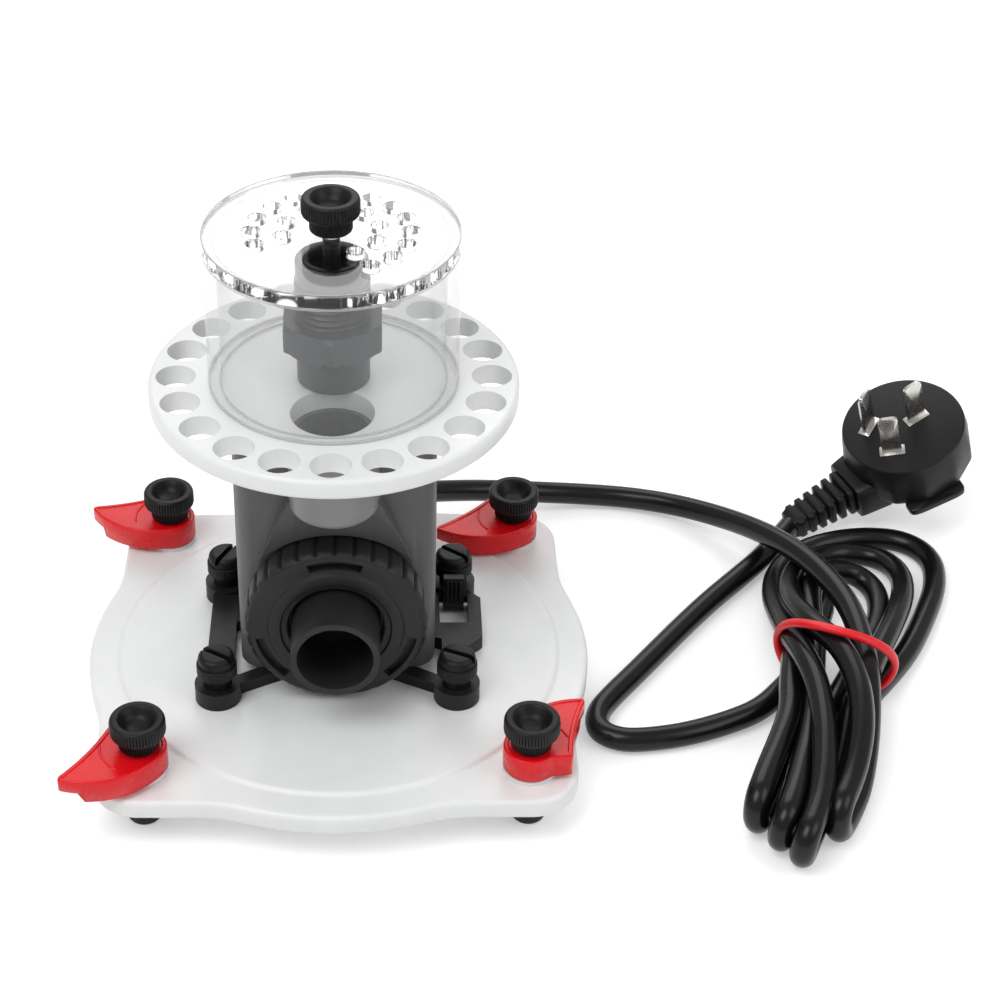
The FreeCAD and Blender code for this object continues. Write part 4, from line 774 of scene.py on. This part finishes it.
def thumbscrew(label, place, bottom, body, node, shaft_length):
    """A ribbed knob and its threaded stud, whose groove winds down by one pitch a turn."""
    bands = [(bottom + 0.6, bottom + 4.1), (bottom + 5.4, bottom + 9.1)]
    rows = knurled(knob_profile(bottom), 432, 54, 0.34, bands)
    head = skin("knob_" + label, placed(rows, place), KNOB_BLACK, body, sharp=60)
    low = bottom - shaft_length
    pitch, reach = 0.9, np.linspace(low, bottom + 0.3, int(shaft_length / 0.15))
    angle = np.arange(40) * TURN / 40
    phase = np.mod(reach[:, None] / pitch - angle[None] / TURN, 1.0)
    groove = -0.28 * (1 - np.abs(2 * phase - 1))
    profile = np.stack([np.full(len(reach), 2.45), reach], 1)
    stud = placed(turned(profile, 40, groove), place)
    skin("stud_" + label, stud, KNOB_BLACK, body, sharp=60)
    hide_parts(node)


def latches():
    """A latch and its thumbscrew at each ear."""
    for label, (sx, sy) in CORNERS.items():
        cam(label, sx, sy)
        place = (sx * KNOB_PITCH, sy * KNOB_PITCH, 0)
        thumbscrew(label, place, KNOB_BOTTOM, "knob_" + label, "thumbscrew_" + label, 19.4)


# Bracket and its screws ------------------------------------------------------------------------------

SCREW_PITCH_X, SCREW_PITCH_Y = 35.3, 24.8


def bracket():
    """The cradle, the tab and the screws from the CAD, and a ribbed grip ring round each screw."""
    softened_copy("pump_cradle", "pump_bracket", 0.6, BRACKET_BLACK, "base")
    softened_copy("finger_tab", "release_tab", 0.25, BRACKET_BLACK, "release_tab")
    softened_copy("pump_screws", "bracket_screws", 0.25, KNOB_BLACK, "base")
    line = eased([(5.0, 28.4), (5.95, 28.4), (5.95, 32.2), (5.0, 32.2)], [0.2, 0.5, 0.5, 0.2], 6, True)
    angle = np.arange(320) * TURN / 320
    ridge = np.abs(np.sin(angle * 40 / 2)) ** 0.8
    mask = (between(line[:, 1], 28.9, 31.8, 0.6) * (line[:, 0] > 5.6))[:, None]
    rows = turned(line, 320, -0.32 * (1 - ridge[None]) * mask)
    for label, (sx, sy) in CORNERS.items():
        skin("grip_ring_" + label, placed(rows, (sx * SCREW_PITCH_X, sy * SCREW_PITCH_Y, 0)), KNOB_BLACK,
             "base", ends="looped", sharp=60)


# Pump, nut and pipe ----------------------------------------------------------------------------------

TO_FRONT, SIDEWAYS = (0.0, -1.0, 0.0), (1.0, 0.0, 0.0)


def housing():
    """The pump's body from the CAD, and the outlet's sleeve with a seam down its front, in a lighter copy of
    the body's grey: painted light.
    """
    softened_copy("pump_body", "pump_housing", 0.5, HOUSING_GREY, "base")
    outlet_line = eased([(10.25, 109.25), (12.75, 109.25), (12.75, 84.2), (0.0, 84.2), (0.0, 86.2),
                         (10.25, 86.2)], [0.2, 0.2, 2.8, 0, 0, 0.5], 8, True)
    angle = np.arange(160) * TURN / 160
    seam = np.exp(-((angle - TURN * 0.75) * 12.68 / 0.22) ** 2)
    mask = (outlet_line[:, 0] > 12.0)[:, None]
    rows = placed(turned(outlet_line, 160, 0.16 * seam[None] * mask), (0, OUTLET_Y, 0))
    # Painted light: the sleeve gets the lighter copy of the housing's grey.
    skin("outlet_sleeve", rows, LIT_OUTLET_GREY, "base", ends="looped", sharp=40)


def union_nut():
    """The nut: a front face with a raised ring and three curved slots, scalloped round its side, and
    a plain bore behind."""
    face = [(13.7, 23.8), (13.7, 26.6), (14.2, 27.2), (15.9, 27.2), (16.1, 28.1), (19.4, 28.1),
            (19.8, 27.2), (21.08, 27.2), (21.12, 27.2), (23.68, 27.2), (23.72, 27.2), (25.0, 27.2),
            (26.3, 26.0), (26.6, 24.6), (26.6, 18.4), (26.2, 16.8), (25.6, 16.3), (23.1, 16.3), (23.1, 23.8)]
    easing = [0.2, 0.4, 0.3, 0.3, 0.3, 0.3, 0.3, 0, 0, 0, 0, 0.6, 0.7, 0.6, 0.6, 0.4, 0.3, 0.3, 0.3]
    line = eased(face, easing, 4, True)
    edges = []
    for middle in (90, 210, 330):
        edges += [middle - 20.1, middle - 19.9, middle + 19.9, middle + 20.1]
    angle = np.radians(np.unique(np.concatenate([np.arange(0, 360, 1.0) + 0.5, edges])))
    degrees = np.degrees(angle)
    in_arc = sum(((degrees > middle - 20) & (degrees < middle + 20)) for middle in (90, 210, 330))
    ribs = 30
    wave = np.mod(angle * ribs / TURN, 1.0)
    scallop = 0.85 * np.clip(1.4 - np.abs(wave - 0.5) * 9, 0, 1)
    on_side = between(line[:, 1], 17.0, 26.2, 1.2) * (line[:, 0] > 25.2)
    radius = line[:, :1] - scallop[None] * on_side[:, None]
    sunk = (np.abs(line[:, 1] - 27.2) < 0.01) & (line[:, 0] > 21.1) & (line[:, 0] < 23.7)
    height = np.broadcast_to(line[:, 1:], radius.shape) - 2.4 * sunk[:, None] * in_arc[None]
    rows = np.stack([radius * np.cos(angle), radius * np.sin(angle), height], -1)
    rows = placed(rows, (0, 0, AXIS_HEIGHT), TO_FRONT, SIDEWAYS)
    piece = skin("pipe_nut", rows, NUT_BLACK, "union_nut", ends="looped", sharp=30)
    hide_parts("union_nut")


def intake():
    """The intake pipe with its flange inside the nut, the mouth's edges eased."""
    line = eased([(10.8, 21.6), (10.8, 42.0), (12.8, 42.0), (12.8, 23.5), (21.6, 23.5), (21.6, 21.6)],
                 [0.2, 0.45, 0.45, 0.3, 0.3, 0.2], 5, True)
    rows = placed(turned(line, 160), (0, 0, AXIS_HEIGHT), TO_FRONT, SIDEWAYS)
    piece = skin("intake_tube", rows, PIPE_BLACK, "base", ends="looped")
    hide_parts("intake_pipe")


def motor():
    """The motor's shells softened, and finishes for the pieces that stay as the CAD has them."""
    softened_copy("motor_shell", "motor_housing", 0.5, MOTOR_BLACK, "base")
    softened_copy("motor_lid", "motor_end_cap", 0.3, MOTOR_BLACK, "base")
    for node, material in {
        "motor_screws": STEEL, "rotor_well": WHEEL_GREY, "stator": POTTING, "rotor_shaft": STEEL,
        "rotor_magnet": FERRITE, "needle_wheel": WHEEL_GREY, "shaft_bushes": RUBBER,
        "bearing_spider": WHEEL_GREY, "intake_seal": RUBBER, "foot_nuts": BRASS, "bracket_inserts": BRASS,
        "release_tab_pin": STEEL,
    }.items():
        finish_node(node, material)


# Bubble plate, post and cup --------------------------------------------------------------------------

THREAD_PITCH = 1.814


def post():
    """The post: a plain foot, a hexagon, a pipe thread and a plain top, with a black insert."""
    low, high = PLATE_TOP, PLATE_TOP + 35.0
    foot = eased([(0.0, low), (10.2, low), (10.2, low + 11.7), (0.0, low + 11.7)], [0, 0.5, 0.1, 0], 5)
    first = skin("post_foot", turned(foot, 96), POST_GREY, "base")
    heights = np.linspace(low + 19.8, high - 6.4, 160)
    angle = np.arange(96) * TURN / 96
    phase = np.mod(heights[:, None] / THREAD_PITCH - angle[None] / TURN, 1.0)
    fade = between(heights, low + 20.6, high - 7.4, 1.2)[:, None]
    thread = -1.0 * (1 - np.abs(2 * phase - 1)) * fade
    stem = np.stack([np.full(len(heights), 10.45), heights], 1)
    skin("post_thread", turned(stem, 96, thread), POST_GREY, "base", sharp=50)
    neck = eased([(8.05, high - 6.6), (10.1, high - 6.6), (10.1, high), (8.05, high)], [0.1, 0.5, 0.5, 0.2],
                 5, True)
    skin("post_top", turned(neck, 96), POST_GREY, "base", ends="looped")
    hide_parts("post")
    hexagon(low + 11.5, low + 20.0)
    sleeve = eased([(2.6, high - 14.0), (8.0, high - 14.0), (8.0, high + 0.35), (6.6, high + 0.35),
                    (6.6, high - 4.0), (2.6, high - 4.0)], [0.1, 0.2, 0.3, 0.4, 0.3, 0.3], 5, True)
    insert = skin("post_bush", turned(sleeve, 96), KNOB_BLACK, "base", ends="looped")
    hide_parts("post_insert")


def hexagon(low, high):
    """A hexagon, flats at its sides, with its corners turned off at top and bottom."""
    angle = np.arange(180) * TURN / 180
    flat = 15.6 * math.cos(TURN / 12)
    swing = np.mod(angle + TURN / 12, TURN / 6) - TURN / 12
    edge = flat / np.cos(swing)
    rows = []
    for limit, height in ((13.9, low), (15.3, low + 1.0), (15.3, high - 1.0), (13.9, high)):
        radius = np.minimum(edge, limit)
        rows.append(np.stack([radius * np.cos(angle), radius * np.sin(angle), np.full(180, height)], 1))
    skin("post_hexagon", np.stack(rows), POST_GREY, "base", sharp=20)


def cup():
    """The bubble plate, the clear wall and lid, thin grey bands of painted shade and glint where the clear
    edges bend the light, and the knob.
    """
    softened_copy("bubble_disc", "bubble_plate", 0.45, PLATE_WHITE, "base")
    wall = eased([(31.4, 115.5), (35.0, 115.5), (35.0, 157.15), (31.4, 157.15)], 0.35, 4, True)
    tube = skin("cup_wall", turned(wall, 200), CLEAR_WALL, "cup", ends="looped")
    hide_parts("cup_tube")
    # Painted shade and glint: thin semi-clear grey bands laid where the clear edges catch and bend the
    # light.
    edges = (
        ("cup_foot_painted_glint", 35.02, 115.5, 116.4), ("cup_inner_painted_glint", 31.9, 115.5, 116.0),
        ("cup_joint_painted_glint", 35.03, 156.5, 157.3), ("lid_edge_painted_glint", 34.95, 160.5, 161.25),
        ("lid_seat_painted_glint", 32.2, 156.8, 157.15),
    )
    for name, radius, low, high in edges:
        corners = [(radius - 0.5, low), (radius, low), (radius, high), (radius - 0.5, high)]
        band = eased(corners, 0.15, 3, True)
        skin(name, turned(band, 200), PAINTED_EDGE_SHADE_AND_GLINT, "cup", ends="looped")
    softened_copy("cup_cover", "cup_lid", 0.25, CLEAR, "cup")
    thumbscrew("cup", (0, 0, 0), 161.4, "cup_knob", "cup_thumbscrew", 24.1)


# Stage -----------------------------------------------------------------------------------------------


def seen_ray(tree):
    """1 for rays from the camera, in a mirror or through glass, and 0 for the light on the object."""
    ray = tree.nodes.new("ShaderNodeLightPath")
    first = tree.nodes.new("ShaderNodeMath")
    second = tree.nodes.new("ShaderNodeMath")
    first.operation = second.operation = "MAXIMUM"
    tree.links.new(ray.outputs["Is Camera Ray"], first.inputs[0])
    tree.links.new(ray.outputs["Is Glossy Ray"], first.inputs[1])
    tree.links.new(first.outputs[0], second.inputs[0])
    tree.links.new(ray.outputs["Is Transmission Ray"], second.inputs[1])
    return second.outputs[0]


FLOOR_GLOW = 0.36
WORLD_LIGHT = 0.50


def stage():
    """A white surround, a floor that glows a little, and three soft lamps."""
    world = bpy.data.worlds.new("studio")
    bpy.context.scene.world = world
    world.use_nodes = True
    tree = world.node_tree
    tree.nodes.clear()
    light = tree.nodes.new("ShaderNodeBackground")
    light.inputs["Strength"].default_value = WORLD_LIGHT
    white = tree.nodes.new("ShaderNodeBackground")
    white.inputs["Strength"].default_value = 1.0
    for background in (light, white):
        background.inputs["Color"].default_value = (1, 1, 1, 1)
    mix = tree.nodes.new("ShaderNodeMixShader")
    out = tree.nodes.new("ShaderNodeOutputWorld")
    ray = tree.nodes.new("ShaderNodeLightPath")
    tree.links.new(ray.outputs["Is Camera Ray"], mix.inputs["Fac"])
    tree.links.new(light.outputs[0], mix.inputs[1])
    tree.links.new(white.outputs[0], mix.inputs[2])
    tree.links.new(mix.outputs[0], out.inputs["Surface"])

    floor_mesh = bpy.data.meshes.new("floor")
    half = 3.0
    floor_mesh.from_pydata([(-half, -half, 0), (half, -half, 0), (half, half, 0), (-half, half, 0)], [],
                           [(0, 1, 2, 3)])
    floor = bpy.data.objects.new("floor", floor_mesh)
    bpy.context.scene.collection.objects.link(floor)
    floor.location.z = -0.0002
    material = bpy.data.materials.new("white_paper")
    material.use_nodes = True
    tree = material.node_tree
    shader = tree.nodes["Principled BSDF"]
    shader.inputs["Base Color"].default_value = (0.86, 0.86, 0.86, 1)
    shader.inputs["Roughness"].default_value = 0.9
    shader.inputs["Emission Color"].default_value = (1, 1, 1, 1)
    glow = tree.nodes.new("ShaderNodeMath")
    glow.operation = "MULTIPLY"
    glow.inputs[1].default_value = FLOOR_GLOW
    tree.links.new(seen_ray(tree), glow.inputs[0])
    tree.links.new(glow.outputs[0], shader.inputs["Emission Strength"])
    floor_mesh.materials.append(material)

    for name, place, size, power in (
        ("key", (-0.55, -0.55, 1.35), 0.9, 11.0),
        ("fill", (1.1, -0.5, 1.0), 0.9, 5.0),
        ("back", (0.1, 1.2, 1.1), 1.0, 6.0),
    ):
        data = bpy.data.lights.new(name, "AREA")
        data.energy, data.size = power, size
        lamp = bpy.data.objects.new(name, data)
        lamp.location = place
        lamp.rotation_euler = (Vector((0.03, 0, 0.05)) - Vector(place)).to_track_quat("-Z", "Y").to_euler()
        bpy.context.scene.collection.objects.link(lamp)
    bpy.context.scene.view_settings.view_transform = "Standard"


camera()
cord_and_plug()
base_plate()
feet()
latches()
bracket()
housing()
union_nut()
intake()
motor()
post()
cup()
stage()
